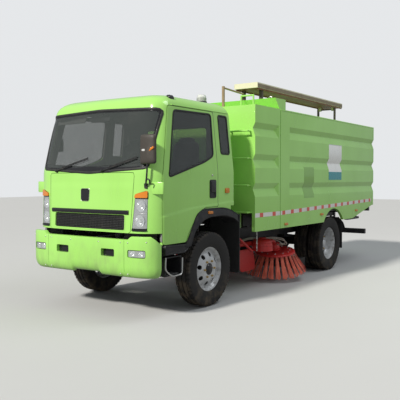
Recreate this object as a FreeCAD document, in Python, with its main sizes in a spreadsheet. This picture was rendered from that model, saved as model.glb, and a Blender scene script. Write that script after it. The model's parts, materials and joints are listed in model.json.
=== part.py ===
# Street sweeper truck: a forward-tilting cab, a fixed fan housing, a tipping dust hopper with a
# top-hinged rear door, and two swinging disc brushes between the axles.
# Millimetres. X runs across the truck, positive to its own left side. The nose faces -Y, Z is up.
# The origin is on the ground, on the centreline, halfway along the overall length.
import FreeCAD, Part
import math
import os
import Sketcher

Vec = FreeCAD.Vector
Turn = FreeCAD.Rotation

SIZES = {
    # whole truck
    "overall_length": 7200,
    "front_overhang": 1240,
    "wheelbase": 3900,
    "fit_gap": 0.3,
    "pin_gap": 0.05,
    "swing_gap": 6,
    # wheels
    "tyre_radius": 487,
    "tyre_width": 235,
    "rim_radius": 290,
    "rim_width": 170,
    "front_wheel_x": 932.5,
    "dual_centre_x": 780,
    "dual_spacing": 270,
    "spindle_radius": 35,
    "rear_spindle_radius": 45,
    "hub_radius": 95,
    "front_hub_face": 100,
    "rear_hub_face": 130,
    "hand_hole_radius": 25,
    "hand_hole_circle": 205,
    "hand_hole_count": 8,
    # steering and axles
    "kingpin_x": 740,
    "kingpin_radius": 22,
    "axle_eye_radius": 45,
    "axle_eye_height": 90,
    "front_drum_radius": 185,
    "front_drum_length": 120,
    "knuckle_plate": 22,
    "knuckle_ear": 36,
    "ear_gap": 1,
    "axle_beam_depth": 84,
    "axle_beam_width": 80,
    "axle_tube_radius": 65,
    "rear_drum_radius": 195,
    "rear_drum_length": 150,
    "differential_radius": 185,
    "shaft_radius": 45,
    # frame
    "rail_outer": 425,
    "rail_flange": 70,
    "rail_depth": 200,
    "rail_bottom": 680,
    "rail_web": 8,
    "rail_front_reach": 1000,
    "rail_rear_y": 3200,
    "cross_width": 60,
    "cross_depth": 150,
    "bearer_thick": 12,
    "engine_half_width": 260,
    "engine_front": 400,
    "engine_rear": 480,
    "engine_height": 380,
    "tunnel_half": 80,
    "tunnel_top_z": 835,
    "spring_width": 70,
    "spring_thick": 55,
    "spring_half_length": 640,
    "spring_rise": 70,
    # cab outline: heights, half widths and distances ahead of the front axle
    "cab_sill_z": 885,
    "cab_belt_z": 1760,
    "cab_header_z": 2510,
    "cab_crown_z": 2700,
    "cab_half_width": 1030,
    "cab_header_half_width": 948,
    "cab_crown_half_width": 740,
    "nose_sill_reach": 1190,
    "nose_belt_reach": 1150,
    "nose_header_reach": 955,
    "nose_crown_reach": 690,
    "corner_sill_reach": 930,
    "corner_header_reach": 750,
    "corner_inset": 270,
    "corner_header_inset": 150,
    "nose_bow": 25,
    "corner_bulge": 45,
    "cab_rear_reach": 630,
    "cab_rear_crown_reach": 500,
    "cab_rear_corner": 60,
    "roof_steps": 4,
    "cab_wall": 45,
    "cab_nose_bottom_z": 1022,
    "cab_rear_bottom_z": 1192,
    "cab_side_bottom_z": 1290,
    "glass_inset": 14,
    "glass_thick": 6,
    # windscreen and windows
    "screen_top_z": 2495,
    "screen_bottom_z": 1778,
    "screen_top_half": 905,
    "screen_bottom_half": 795,
    "screen_bottom_dip": 40,
    "screen_corner": 60,
    "screen_depth_reach": 790,
    "window_corner": 35,
    "quarter_front": 305,
    "quarter_rear": 515,
    "quarter_bottom_z": 2000,
    "quarter_top_z": 2512,
    "back_window_half": 560,
    "back_window_bottom_z": 1900,
    "back_window_top_z": 2400,
    # door, measured from the front axle
    "door_front": 970,
    "door_top_front": 770,
    "door_rear": 190,
    "door_top_z": 2548,
    "door_belt_z": 1700,
    "door_arch_top_z": 1300,
    "door_foot_rear": 520,
    "door_gap": 8,
    "door_hinge_x": 1035,
    "door_hinge_reach": 990,
    "door_hinge_radius": 10,
    "door_hinge_pin": 5,
    "door_hinge_height": 30,
    "door_hinge_ear": 12,
    "door_hinge_low_z": 1150,
    "door_hinge_high_z": 1600,
    "vane_bottom_z": 1480,
    "vane_top_z": 1630,
    "vane_outer_x": 1094,
    # nose panel, lamps and grille
    "panel_top_z": 1735,
    "panel_bottom_z": 1022,
    "panel_top_half": 724,
    "panel_bottom_half": 690,
    "panel_wall": 40,
    "panel_hinge_x": 540,
    "panel_hinge_reach": 1160,
    "panel_hinge_z": 1740,
    "panel_hinge_width": 30,
    "panel_eye_radius": 14,
    "panel_pin_radius": 6,
    "lamp_top_z": 1500,
    "lamp_bottom_z": 1046,
    "lamp_inner_top": 752,
    "lamp_inner_bottom": 712,
    "lamp_outer": 905,
    "lamp_depth": 55,
    "grille_half": 607,
    "grille_top_z": 1222,
    "grille_bottom_z": 1045,
    "grille_bar_half": 660,
    "grille_bar_bottom_z": 1237,
    "grille_bar_top_z": 1290,
    "grille_bar_thick": 25,
    "grille_thick": 18,
    "emblem_half": 62,
    "emblem_bottom_z": 1388,
    "emblem_top_z": 1540,
    # cab floor and pivot
    "floor_z": 1190,
    "floor_thick": 40,
    "well_inner_x": 700,
    "well_wall": 20,
    "well_rear": 520,
    "well_setback": 50,
    "step_bottom_z": 753,
    "step_top_z": 862,
    "step_front": 953,
    "step_rear": 530,
    "step_inner_x": 800,
    "step_outer_x": 1028,
    "firewall_reach": 1020,
    "tilt_reach": 1140,
    "tilt_z": 800,
    "tilt_lug_x": 390,
    "tilt_lug_width": 26,
    "tilt_lug_radius": 28,
    "tilt_pin_radius": 14,
    "tilt_ear": 12,
    "tilt_lug_crank": 170,
    "rest_post_y": 570,
    "rest_beam": 36,
    # flares, steps and guards
    "flare_outer_x": 1062,
    "flare_inner_x": 986,
    "flare_top_z": 1283,
    "low_step_z": 500,
    "low_step_height": 230,
    "low_step_length": 320,
    "guard_front": 700,
    "guard_thick": 20,
    "guard_bottom_z": 350,
    "guard_inner_x": 560,
    "guard_outer_x": 1050,
    # seats and controls
    "seat_x": 470,
    "seat_half": 240,
    "seat_top_z": 1600,
    "seat_thick": 150,
    "seat_front": -240,
    "seat_rear": 260,
    "seat_back_top_z": 2230,
    "seat_back_thick": 120,
    "dash_top_z": 1770,
    "dash_bottom_z": 1440,
    "dash_depth": 260,
    "wheel_z": 1800,
    "wheel_reach": 620,
    "wheel_radius": 220,
    "wheel_grip": 14,
    "column_radius": 28,
    # mirrors
    "mirror_inner": 813,
    "mirror_outer": 1047,
    "mirror_bottom_z": 1830,
    "mirror_top_z": 2180,
    "mirror_thick": 75,
    "mirror_reach": 1150,
    "mirror_arm_x": 880,
    "mirror_foot_z": 1600,
    "mirror_arm_radius": 11,
    "far_mirror_inner": 1035,
    "far_mirror_outer": 1095,
    "far_mirror_front": 690,
    "far_mirror_thick": 70,
    "far_mirror_bottom_z": 2040,
    "far_mirror_top_z": 2230,
    "far_mirror_arm_radius": 9,
    # bumper
    "bumper_half": 1064,
    "bumper_side_reach": 1040,
    "bumper_slope_run": 100,
    "bumper_slope_drop": 55,
    "bumper_bottom_z": 492,
    "bumper_top_z": 990,
    "bumper_middle_top_z": 950,
    "bumper_wall": 25,
    "bumper_notch_half": 730,
    "fog_inner": 718,
    "fog_outer": 940,
    "fog_bottom_z": 749,
    "fog_top_z": 826,
    "fog_setback": 14,
    "tow_hole_inner": 283,
    "tow_hole_outer": 480,
    "tow_hole_bottom_z": 730,
    "tow_hole_top_z": 830,
    "cutout_half": 225,
    "cutout_z": 530,
    # body boxes
    "body_half": 1100,
    "body_wall": 50,
    "body_top_z": 2730,
    "skirt_z": 900,
    "housing_front": 1050,
    "housing_rear": 1830,
    "housing_floor_z": 1170,
    "blower_half": 520,
    "blower_front_inset": 150,
    "blower_length": 450,
    "blower_height": 620,
    "body_seam": 14,
    "roof_thick": 40,
    "wall_thick": 30,
    "groove_depth": 40,
    "groove_up": 80,
    "groove_down": 118,
    "groove_top_z": 2395,
    "groove_middle_z": 1940,
    "groove_low_z": 1520,
    "groove_end": 60,
    "groove_start": 2130,
    "housing_groove_end": 1770,
    "arch_radius": 540,
    "arch_z": 586,
    "skirt_flat_end": 4818,
    "skirt_rear_z": 1120,
    "door_thick": 70,
    # hopper deck and hinge
    "beam_bottom_z": 900,
    "beam_depth": 180,
    "beam_width": 60,
    "deck_thick": 40,
    "tip_y": 3150,
    "tip_z": 950,
    "tip_pin_radius": 20,
    "tip_eye_radius": 38,
    "tip_ear": 16,
    "rear_hinge_rise": 34,
    "rear_hinge_inset": 95,
    "rear_hinge_radius": 26,
    "rear_hinge_pin": 12,
    "rear_hinge_width": 60,
    # tipping ram
    "ram_base_y": 500,
    "ram_base_z": 770,
    "ram_eye_y": 2000,
    "ram_eye_z": 1000,
    "barrel_radius": 70,
    "rod_radius": 42,
    "barrel_length": 1330,
    "ram_eye_radius": 45,
    "ram_pin_radius": 18,
    "ram_width": 70,
    # roof hood, ladder and rail
    "hood_half": 1078,
    "hood_top_z": 2893,
    "hood_lean": 140,
    "hood_rear": 2030,
    "rung_count": 4,
    "rung_half": 170,
    "rung_radius": 13,
    "rung_offset": 90,
    "rung_x": 865,
    "rung_first_z": 1180,
    "rung_step_z": 390,
    "grab_radius": 13,
    "grab_inner": 835,
    "grab_outer": 1040,
    "grab_top_z": 2868,
    "post_x": 517,
    "post_radius": 22,
    "post_top_z": 3040,
    "post_y": 1110,
    "post_link_length": 560,
    "post_link_drop": 28,
    "link_radius": 14,
    # roof board
    "board_inner": 110,
    "board_outer": 550,
    "board_front": 2070,
    "board_rear": 5600,
    "board_bottom_z": 3140,
    "board_thick": 85,
    "base_height": 60,
    "base_front": 2260,
    "base_rear": 5450,
    "stand_width": 50,
    "board_hinge_y": 5300,
    "board_hinge_z": 3085,
    "board_pin_radius": 12,
    "board_eye_radius": 28,
    # brushes
    "brush_x": 700,
    "brush_y": 40,
    "brush_z": 480,
    "brush_disc_radius": 330,
    "brush_disc_thick": 22,
    "brush_tip_radius": 520,
    "brush_tip_drop": 370,
    "brush_tufts": 26,
    "brush_tuft_width": 46,
    "brush_tuft_thick": 20,
    "brush_tilt": 10,
    "brush_shaft_radius": 20,
    "motor_radius": 75,
    "motor_height": 150,
    "arm_pivot_x": 540,
    "arm_pivot_y": -900,
    "arm_z": 640,
    "arm_size": 60,
    "arm_eye_radius": 42,
    "arm_pin_radius": 18,
    "arm_ear": 14,
    # under the body
    "nozzle_half": 820,
    "nozzle_front_y": 620,
    "nozzle_length": 320,
    "nozzle_bottom_z": 110,
    "nozzle_height": 170,
    "duct_radius": 110,
    "duct_x": 225,
    "underrun_half": 980,
    "underrun_y": 3440,
    "underrun_z": 520,
    "underrun_depth": 100,
    "underrun_thick": 70,
    "rear_lamp_inner": 620,
    "rear_lamp_outer": 960,
    "rear_lamp_height": 90,
    "rear_guard_thick": 12,
    "tank_length": 620,
    "tank_front_y": -1600,
    "tank_inner": 520,
    "tank_depth": 380,
    "tank_height": 400,
    "tank_bottom_z": 480,
    "chain_links": 7,
    "chain_pitch": 38,
    "chain_wire": 7,
    "chain_width": 26,
}


class Size:
    """A number together with the sheet formula that gives it."""

    def __init__(self, value, text):
        self.value = value
        self.text = text

    def __float__(self):
        return float(self.value)

    def joined(self, other, sign, value):
        return Size(value, "(%s %s %s)" % (self.text, sign, words(other)))

    def __add__(self, other):
        return self.joined(other, "+", self.value + float(other))

    def __sub__(self, other):
        return self.joined(other, "-", self.value - float(other))

    def __mul__(self, other):
        return self.joined(other, "*", self.value * float(other))

    def __truediv__(self, other):
        return self.joined(other, "/", self.value / float(other))

    def __radd__(self, other):
        return Size(float(other), words(other)) + self

    def __rsub__(self, other):
        return Size(float(other), words(other)) - self

    def __rmul__(self, other):
        return Size(float(other), words(other)) * self

    def __neg__(self):
        return Size(-self.value, "(0 - %s)" % self.text)


def words(quantity):
    """The sheet formula of a Size, or the digits of a plain number."""
    if isinstance(quantity, Size):
        return quantity.text
    return repr(float(quantity))


class SizeSheet:
    """The spreadsheet of driving sizes, read by name."""

    def __init__(self, doc, sizes):
        self.sheet = doc.addObject("Spreadsheet::Sheet", "Sizes")
        for row, (name, value) in enumerate(sizes.items(), start=1):
            self.sheet.set("A%d" % row, name)
            self.sheet.set("B%d" % row, str(value))
            self.sheet.setAlias("B%d" % row, name)
        doc.recompute()

    def __getattr__(self, name):
        return Size(float(self.sheet.get(name)), "Sizes." + name)


doc = FreeCAD.newDocument("StreetSweeper")
size = SizeSheet(doc, SIZES)
nodes = []

AXIS_TURN = {"x": Turn(Vec(0, 1, 0), 90), "y": Turn(Vec(1, 0, 0), -90), "z": Turn()}
PLANE_ROLE = {"xy": "XY_Plane", "xz": "XZ_Plane", "yz": "YZ_Plane"}


def bind(thing, prop, quantity):
    """Set a property and tie it to the sheet."""
    if isinstance(quantity, Size):
        setattr(thing, prop, float(quantity))
        thing.setExpression(prop, quantity.text)
    else:
        setattr(thing, prop, quantity)


def put(thing, x, y, z, turn=None):
    """Place an object, with each coordinate tied to the sheet."""
    thing.Placement = FreeCAD.Placement(Vec(float(x), float(y), float(z)), turn or Turn())
    for letter, quantity in zip("xyz", (x, y, z)):
        if isinstance(quantity, Size):
            thing.setExpression("Placement.Base." + letter, quantity.text)
    return thing


def node(thing, label):
    """Name an object as a sub-part of the truck."""
    thing.Label = label
    nodes.append(thing)
    return thing


def block(x, y, z):
    """A box between pairs of low and high coordinates."""
    thing = doc.addObject("Part::Box", "Block")
    bind(thing, "Length", x[1] - x[0])
    bind(thing, "Width", y[1] - y[0])
    bind(thing, "Height", z[1] - z[0])
    return put(thing, x[0], y[0], z[0])


def rod(radius, length, at, axis="z", turn=None):
    """A cylinder that starts at a point and runs along an axis."""
    thing = doc.addObject("Part::Cylinder", "Rod")
    bind(thing, "Radius", radius)
    bind(thing, "Height", length)
    return put(thing, at[0], at[1], at[2], turn or AXIS_TURN[axis])


def sketch_on(body, plane, points):
    """A closed outline on a plane of the body's own origin, each corner tied to the sheet."""
    sketch = body.newObject("Sketcher::SketchObject", "Outline")
    support = [item for item in body.Origin.OriginFeatures if item.Role == PLANE_ROLE[plane]][0]
    sketch.AttachmentSupport = (support, "")
    sketch.MapMode = "FlatFace"
    count = len(points)
    flat = [Vec(float(u), float(v), 0) for u, v in points]
    for index in range(count):
        sketch.addGeometry(Part.LineSegment(flat[index], flat[(index + 1) % count]), False)
    for index in range(count):
        sketch.addConstraint(Sketcher.Constraint("Coincident", index, 2, (index + 1) % count, 1))
    for index, corner in enumerate(points):
        for kind, quantity in zip(("DistanceX", "DistanceY"), corner):
            rule = Sketcher.Constraint(kind, -1, 1, index, 1, float(quantity))
            number = sketch.addConstraint(rule)
            if isinstance(quantity, Size):
                sketch.setExpression("Constraints[%d]" % number, quantity.text)
    return sketch


def plate(plane, points, low, high):
    """A body padded from an outline, between two coordinates along the plane's normal."""
    body = doc.addObject("PartDesign::Body", "Plate")
    sketch = sketch_on(body, plane, points)
    pad = body.newObject("PartDesign::Pad", "Pad")
    pad.Profile = sketch
    pad.Reversed = plane == "xz"
    bind(pad, "Length", high - low)
    offset = {"xy": (0, 0, low), "xz": (0, low, 0), "yz": (low, 0, 0)}[plane]
    return put(body, *offset)


def turned(points, at, turn=None):
    """A body turned about its own X axis from an outline of (along, radius) points."""
    body = doc.addObject("PartDesign::Body", "Turned")
    sketch = sketch_on(body, "xy", points)
    spin = body.newObject("PartDesign::Revolution", "Revolution")
    spin.Profile = sketch
    spin.ReferenceAxis = (sketch, ["H_Axis"])
    spin.Angle = 360
    return put(body, at[0], at[1], at[2], turn)


def fused(*things):
    """Solids joined into one."""
    if len(things) == 1:
        return things[0]
    thing = doc.addObject("Part::MultiFuse", "Joined")
    thing.Shapes = list(things)
    thing.Refine = True
    return thing


def cut(base, *tools):
    """A solid with others taken away."""
    thing = doc.addObject("Part::Cut", "Cut")
    thing.Base = base
    thing.Tool = fused(*tools)
    thing.Refine = True
    return thing


def mirrored(source):
    """The other side of a solid, across the truck's centre plane."""
    thing = doc.addObject("Part::Mirroring", "Mirrored")
    thing.Source = source
    thing.Normal = Vec(1, 0, 0)
    return thing


def both(source):
    """A solid and its mirror image, kept as separate solids of one piece."""
    return grouped(source, mirrored(source))


def grouped(*things):
    """Separate solids kept together as one piece."""
    thing = doc.addObject("Part::Compound", "Group")
    thing.Links = list(things)
    return thing


def shaped(shape):
    """A computed shape as an object of the document."""
    thing = doc.addObject("Part::Feature", "Shaped")
    thing.Shape = shape
    return thing


front_y = size.overall_length / -2
rear_y = size.overall_length / 2
front_axle = front_y + size.front_overhang
rear_axle = front_axle + size.wheelbase
axle_z = size.tyre_radius
rail_top = size.rail_bottom + size.rail_depth
rail_inner = size.rail_outer - size.rail_web
half_tyre = size.tyre_width / 2


def tyre_profile():
    """Half section of a tyre, plain out to its tread."""
    half = half_tyre
    reach = size.tyre_radius
    bead = size.rim_radius
    side = [(half * 0.74, bead), (half, bead + 60), (half, reach - 85), (half * 0.84, reach - 10)]
    crown = [(half * 0.68, reach)]
    outer = side + crown
    inner = [(-along, radius) for along, radius in reversed(outer)]
    return outer + inner


def make_front_wheel():
    """Left front tyre and steel rim with hand holes, and their mirror images."""
    place = (size.front_wheel_x, front_axle, axle_z)
    tyre = turned(tyre_profile(), place)
    half = size.rim_width / 2
    seat = size.rim_radius - size.fit_gap
    bore = size.spindle_radius + size.pin_gap
    face = size.front_hub_face
    outline = [
        (-half, seat), (half, seat), (half, seat - 22), (half - 24, seat - 34), (half - 14, seat - 86),
        (face, size.hub_radius + 50), (face, bore), (face - 60, bore), (face - 60, size.hub_radius + 45),
        (half - 66, seat - 52), (-half, seat - 40),
    ]
    rim = cut(turned(outline, place), *hand_holes())
    node(tyre, "tyre_front_left")
    node(rim, "rim_front_left")
    node(mirrored(tyre), "tyre_front_right")
    node(mirrored(rim), "rim_front_right")


def hand_holes():
    """Cylinders through the disc, evenly round the wheel."""
    holes = []
    count = int(float(size.hand_hole_count))
    for index in range(count):
        angle = 2 * math.pi * index / count
        across = size.hand_hole_circle * math.sin(angle)
        up = size.hand_hole_circle * math.cos(angle)
        at = (size.front_wheel_x, front_axle + across, axle_z + up)
        holes.append(rod(size.hand_hole_radius, size.rim_width, at, "x"))
    return holes


def make_rear_wheels():
    """Left pair of rear tyres on one pair of dished rims, and their mirror images."""
    centre = size.dual_centre_x
    offset = size.dual_spacing / 2
    outer = turned(tyre_profile(), (centre + offset, rear_axle, axle_z))
    inner = turned(tyre_profile(), (centre - offset, rear_axle, axle_z))
    tyres = grouped(outer, inner)
    half = size.rim_width / 2
    seat = size.rim_radius - size.fit_gap
    bore = size.rear_spindle_radius + size.pin_gap
    near = offset - half
    far = offset + half
    right = [
        (size.rear_hub_face, bore), (size.rear_hub_face, size.hub_radius), (14, size.hub_radius),
        (14, seat - 85), (near + 10, seat - 40), (far - 5, seat - 32), (far, seat), (near, seat),
        (near, seat - 15), (0, seat - 68),
    ]
    left = [(-near, seat - 15), (-near, seat), (-far, seat), (5 - far, seat - 32),
            (-10 - near, seat - 40), (-14, seat - 85), (-14, size.hub_radius), (-40, size.hub_radius),
            (-40, bore)]
    rims = turned(right + left, (centre, rear_axle, axle_z))
    node(tyres, "tyres_rear_left")
    node(rims, "rims_rear_left")
    node(mirrored(tyres), "tyres_rear_right")
    node(mirrored(rims), "rims_rear_right")


def make_front_axle():
    """Beam axle with a bored eye at each end for the kingpin."""
    low = axle_z - size.axle_beam_depth / 2
    high = axle_z + size.axle_beam_depth / 2
    half_width = size.axle_beam_width / 2
    beam = block((-size.kingpin_x, size.kingpin_x), (front_axle - half_width, front_axle + half_width),
                 (low, high))
    eye_low = axle_z - size.axle_eye_height / 2
    parts = [beam]
    bores = []
    for side in (1, -1):
        at = (size.kingpin_x * side, front_axle, eye_low)
        parts.append(rod(size.axle_eye_radius, size.axle_eye_height, at))
        bores.append(rod(size.kingpin_radius + size.pin_gap, size.axle_eye_height, at))
    node(cut(fused(*parts), *bores), "front_axle")


def make_knuckle():
    """Steering knuckle: two ears and a pin about the axle eye, a drum, and the wheel's spindle."""
    eye_low = axle_z - size.axle_eye_height / 2
    eye_high = axle_z + size.axle_eye_height / 2
    top = eye_high + size.ear_gap
    bottom = eye_low - size.ear_gap - size.knuckle_ear
    pin_x = size.kingpin_x
    reach = size.axle_eye_radius + size.swing_gap + 2
    plate_x = pin_x + reach
    half = size.axle_eye_radius
    height = (bottom, top + size.knuckle_ear)
    upper = rod(half, size.knuckle_ear, (pin_x, front_axle, top))
    lower = rod(half, size.knuckle_ear, (pin_x, front_axle, bottom))
    pin = rod(size.kingpin_radius, height[1] - bottom, (pin_x, front_axle, bottom))
    wide = (front_axle - half, front_axle + half)
    bridges = [block((pin_x, plate_x), wide, (top, height[1])),
               block((pin_x, plate_x), wide, (bottom, bottom + size.knuckle_ear))]
    back = block((plate_x, plate_x + size.knuckle_plate), wide, height)
    drum_x = plate_x + size.knuckle_plate
    drum = rod(size.front_drum_radius, size.front_drum_length, (drum_x, front_axle, axle_z), "x")
    tip_x = size.front_wheel_x + size.front_hub_face
    spindle = rod(size.spindle_radius, tip_x - drum_x, (drum_x, front_axle, axle_z), "x")
    knuckle = fused(upper, lower, pin, *bridges, back, drum, spindle)
    node(knuckle, "knuckle_left")
    node(mirrored(knuckle), "knuckle_right")


def make_rear_axle():
    """Axle tube with its differential housing, brake drums and wheel spindles, and its drive shaft."""
    centre = size.dual_centre_x
    drum_x = centre - 40 - size.rear_drum_length - size.swing_gap
    tip_x = centre + size.rear_hub_face
    tube = rod(size.axle_tube_radius, drum_x * 2, (-drum_x, rear_axle, axle_z), "x")
    spindle = rod(size.rear_spindle_radius, tip_x * 2, (-tip_x, rear_axle, axle_z), "x")
    drum = rod(size.rear_drum_radius, size.rear_drum_length, (drum_x, rear_axle, axle_z), "x")
    swell = size.differential_radius
    outline = [(swell * -0.95, 0), (swell * -0.95, swell * 0.5), (swell * -0.5, swell * 1), (swell * 0.5, swell * 1),
               (swell * 0.95, swell * 0.5), (swell * 0.95, 0)]
    housing = turned(outline, (0, rear_axle, axle_z))
    engine_face = front_axle + size.engine_rear
    start = (0, engine_face, size.rail_bottom + size.shaft_radius * 2 + 20)
    shaft = shaft_between(start, (0, rear_axle, axle_z), size.shaft_radius)
    engine = Part.makeBox(400, 400, 400, Vec(-200, float(engine_face + size.fit_gap) - 400, 500))
    gap = Part.makeCylinder(float(swell + size.fit_gap), 200, Vec(-100, float(rear_axle), float(axle_z)), Vec(1, 0, 0))
    node(fused(tube, spindle, drum, mirrored(drum), housing), "rear_axle")
    node(shaped(shaft.cut([engine, gap])), "drive_shaft")


def shaft_between(start, end, radius, low=0.0, high=0.0):
    """A round bar between two points in the plane across X, cut back at each end."""
    run = Vec(*[float(end[i]) - float(start[i]) for i in range(3)])
    turn = Turn(Vec(0, 0, 1), run)
    first = Vec(*[float(value) for value in start]) + run.normalize() * float(low)
    length = Vec(*[float(end[i]) - float(start[i]) for i in range(3)]).Length
    solid = Part.makeCylinder(float(radius), length - float(low) - float(high))
    solid.Placement = FreeCAD.Placement(first, turn)
    return solid


def make_engines():
    """Plain blocks for the engine under the cab and the blower set inside the fan housing."""
    bottom = size.rail_bottom + size.rail_web + size.bearer_thick
    engine = block((-size.engine_half_width, size.engine_half_width),
                   (front_axle - size.engine_front, front_axle + size.engine_rear),
                   (bottom, bottom + size.engine_height))
    node(engine, "engine_block")
    low = size.housing_floor_z + size.wall_thick + size.fit_gap
    front = body_y(size.housing_front) + size.blower_front_inset
    blower = block((-size.blower_half, size.blower_half), (front, front + size.blower_length),
                   (low, low + size.blower_height))
    node(blower, "blower_block")


def crossmember(y, low, high, half_width):
    """A beam between the frame rails."""
    return block((-rail_inner, rail_inner), (y - half_width, y + half_width), (low, high))


def make_frame():
    """Two channel rails with their crossmembers, the cab's pivot ears and rear rest."""
    outer = size.rail_outer
    web = size.rail_web
    flange = outer - size.rail_flange
    low = size.rail_bottom
    front = front_axle - size.rail_front_reach
    channel = [(outer, low), (outer, rail_top), (flange, rail_top), (flange, rail_top - web),
               (rail_inner, rail_top - web), (rail_inner, low + web), (flange, low + web), (flange, low)]
    rail = plate("xz", channel, front, size.rail_rear_y)
    parts = [rail, mirrored(rail)]
    half = size.cross_width / 2
    middle = low + size.rail_depth / 2
    beam = (middle - size.cross_depth / 2, middle + size.cross_depth / 2)
    for y in (front + half, size.ram_base_y - 100, rear_axle + 520, size.rail_rear_y - half):
        parts.append(crossmember(y, beam[0], beam[1], half))
    tunnel = block((-size.tunnel_half, size.tunnel_half), (front_axle + 700, front_axle + 1900),
                   (low, size.tunnel_top_z * 1))
    bridges = [crossmember(y, beam[0], beam[1], half) for y in (front_axle + 760, front_axle + 1800)]
    parts.append(cut(fused(*bridges), tunnel))
    pad = block((outer - size.beam_width, outer * 1), (body_y(size.housing_rear) + 130, body_y(size.housing_rear) + 230),
                (rail_top, size.beam_bottom_z - size.fit_gap))
    parts += [pad, mirrored(pad)]
    for y in (front_axle - size.engine_front + half, front_axle + size.engine_rear - half):
        parts.append(crossmember(y, low + web, low + web + size.bearer_thick, half))
    parts += pivot_ears() + cab_rest() + tip_ears() + ram_ears() + arm_brackets()
    node(fused(*parts), "frame_rails")


def pivot_ears():
    """Ears and pins at the frame's front end, on which the cab tilts."""
    parts = []
    y = front_axle - size.tilt_reach
    half = size.tilt_lug_width / 2 + size.ear_gap
    radius = size.tilt_lug_radius
    rail_front = front_axle - size.rail_front_reach
    for side in (1, -1):
        middle = size.tilt_lug_x * side
        for low_x in (middle + half, middle - half - size.tilt_ear):
            parts.append(block((low_x, low_x + size.tilt_ear), (y - radius, rail_front + 40),
                               (size.tilt_z - radius, size.tilt_z + radius)))
        start = middle - half - size.tilt_ear
        length = size.tilt_lug_width + size.ear_gap * 2 + size.tilt_ear * 2
        parts.append(rod(size.tilt_pin_radius, length, (start, y, size.tilt_z), "x"))
        foot = block((middle - 30, middle + 30), (front_y + size.bumper_wall, rail_front + 40),
                     (size.rail_bottom - 60, size.rail_bottom))
        parts.append(foot)
    return parts


def cab_rest():
    """Posts and a beam that carry the back of the cab."""
    y = front_axle + size.rest_post_y
    top = size.floor_z - size.fit_gap
    beam = block((-size.rail_outer, size.rail_outer), (y, y + size.rest_beam), (top - size.rest_beam, top))
    post = block((size.rail_outer - 50, size.rail_outer), (y, y + size.rest_beam),
                 (rail_top, top - size.rest_beam))
    return [beam, post, mirrored(post)]


def tip_ears():
    """Ears and pins at the frame's rear end, on which the hopper tips."""
    parts = []
    half = size.beam_width / 2 + size.ear_gap
    radius = size.tip_eye_radius
    middle = size.rail_outer - size.beam_width / 2
    foot = (size.tip_y - radius, size.tip_y + radius)
    outer = block((middle + half, middle + half + size.tip_ear), foot,
                  (rail_top - 100, size.tip_z + radius))
    inner = block((middle - half - size.tip_ear, middle - half), foot, (rail_top, size.tip_z + radius))
    length = size.beam_width + size.ear_gap * 2 + size.tip_ear * 2
    start = middle - half - size.tip_ear
    pin = rod(size.tip_pin_radius, length, (start, size.tip_y, size.tip_z), "x")
    seat = block((start, start + length), foot, (rail_top - 8, rail_top))
    for part in (outer, inner, pin, seat):
        parts.append(part)
        parts.append(mirrored(part))
    return parts


def ram_ears():
    """Ears and pin that hold the foot of the tipping ram."""
    half = size.ram_width / 2 + size.ear_gap
    y = size.ram_base_y
    radius = size.ram_eye_radius
    ear = block((half, half + size.tip_ear), (y - 100, y + radius * 0.5),
                (size.ram_base_z - radius, size.ram_base_z + radius))
    start = -half - size.tip_ear
    length = size.ram_width + size.ear_gap * 2 + size.tip_ear * 2
    pin = rod(size.ram_pin_radius, length, (start, y, size.ram_base_z), "x")
    return [ear, mirrored(ear), pin]


def arm_brackets():
    """Plates and an upright pin on each rail, on which a brush arm swings."""
    parts = []
    low = size.arm_z - size.arm_size / 2 - size.ear_gap
    high = size.arm_z + size.arm_size / 2 + size.ear_gap
    radius = size.arm_eye_radius
    reach = (size.rail_outer, size.arm_pivot_x + radius)
    wide = (size.arm_pivot_y - radius, size.arm_pivot_y + radius)
    lower = block(reach, wide, (low - size.arm_ear, low))
    upper = block(reach, wide, (high, high + size.arm_ear))
    back = block((size.rail_outer, size.rail_outer + size.arm_ear), wide,
                 (low - size.arm_ear, size.rail_bottom + 100))
    length = size.arm_size + size.ear_gap * 2 + size.arm_ear * 2
    pin = rod(size.arm_pin_radius, length, (size.arm_pivot_x, size.arm_pivot_y, low - size.arm_ear))
    for part in (lower, upper, back, pin):
        parts.append(part)
        parts.append(mirrored(part))
    return parts


def make_springs():
    """Leaf springs lying on both axles, one bowed pack under each rail."""
    rise = size.spring_rise
    reach = size.spring_half_length
    thick = size.spring_thick
    packs = []
    for axle_y, seat in ((front_axle, axle_z + size.axle_beam_depth / 2),
                         (rear_axle, axle_z + size.axle_tube_radius)):
        outline = [(axle_y - reach, seat + rise), (axle_y - 60, seat), (axle_y + 60, seat),
                   (axle_y + reach, seat + rise), (axle_y + reach, size.rail_bottom),
                   (axle_y + reach - 60, size.rail_bottom),
                   (axle_y + 60, seat + thick), (axle_y - 60, seat + thick),
                   (axle_y - reach + 60, size.rail_bottom), (axle_y - reach, size.rail_bottom)]
        pack = plate("yz", outline, size.rail_outer - size.spring_width, size.rail_outer)
        packs += [pack, mirrored(pack)]
    node(grouped(*packs), "leaf_springs")


def cab_level(z, half, nose, corner, inset, rear):
    """Sizes of one level section of the cab, as plain numbers."""
    return {"z": z, "half": half, "nose": nose, "corner": corner, "inset": inset, "rear": rear}


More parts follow.
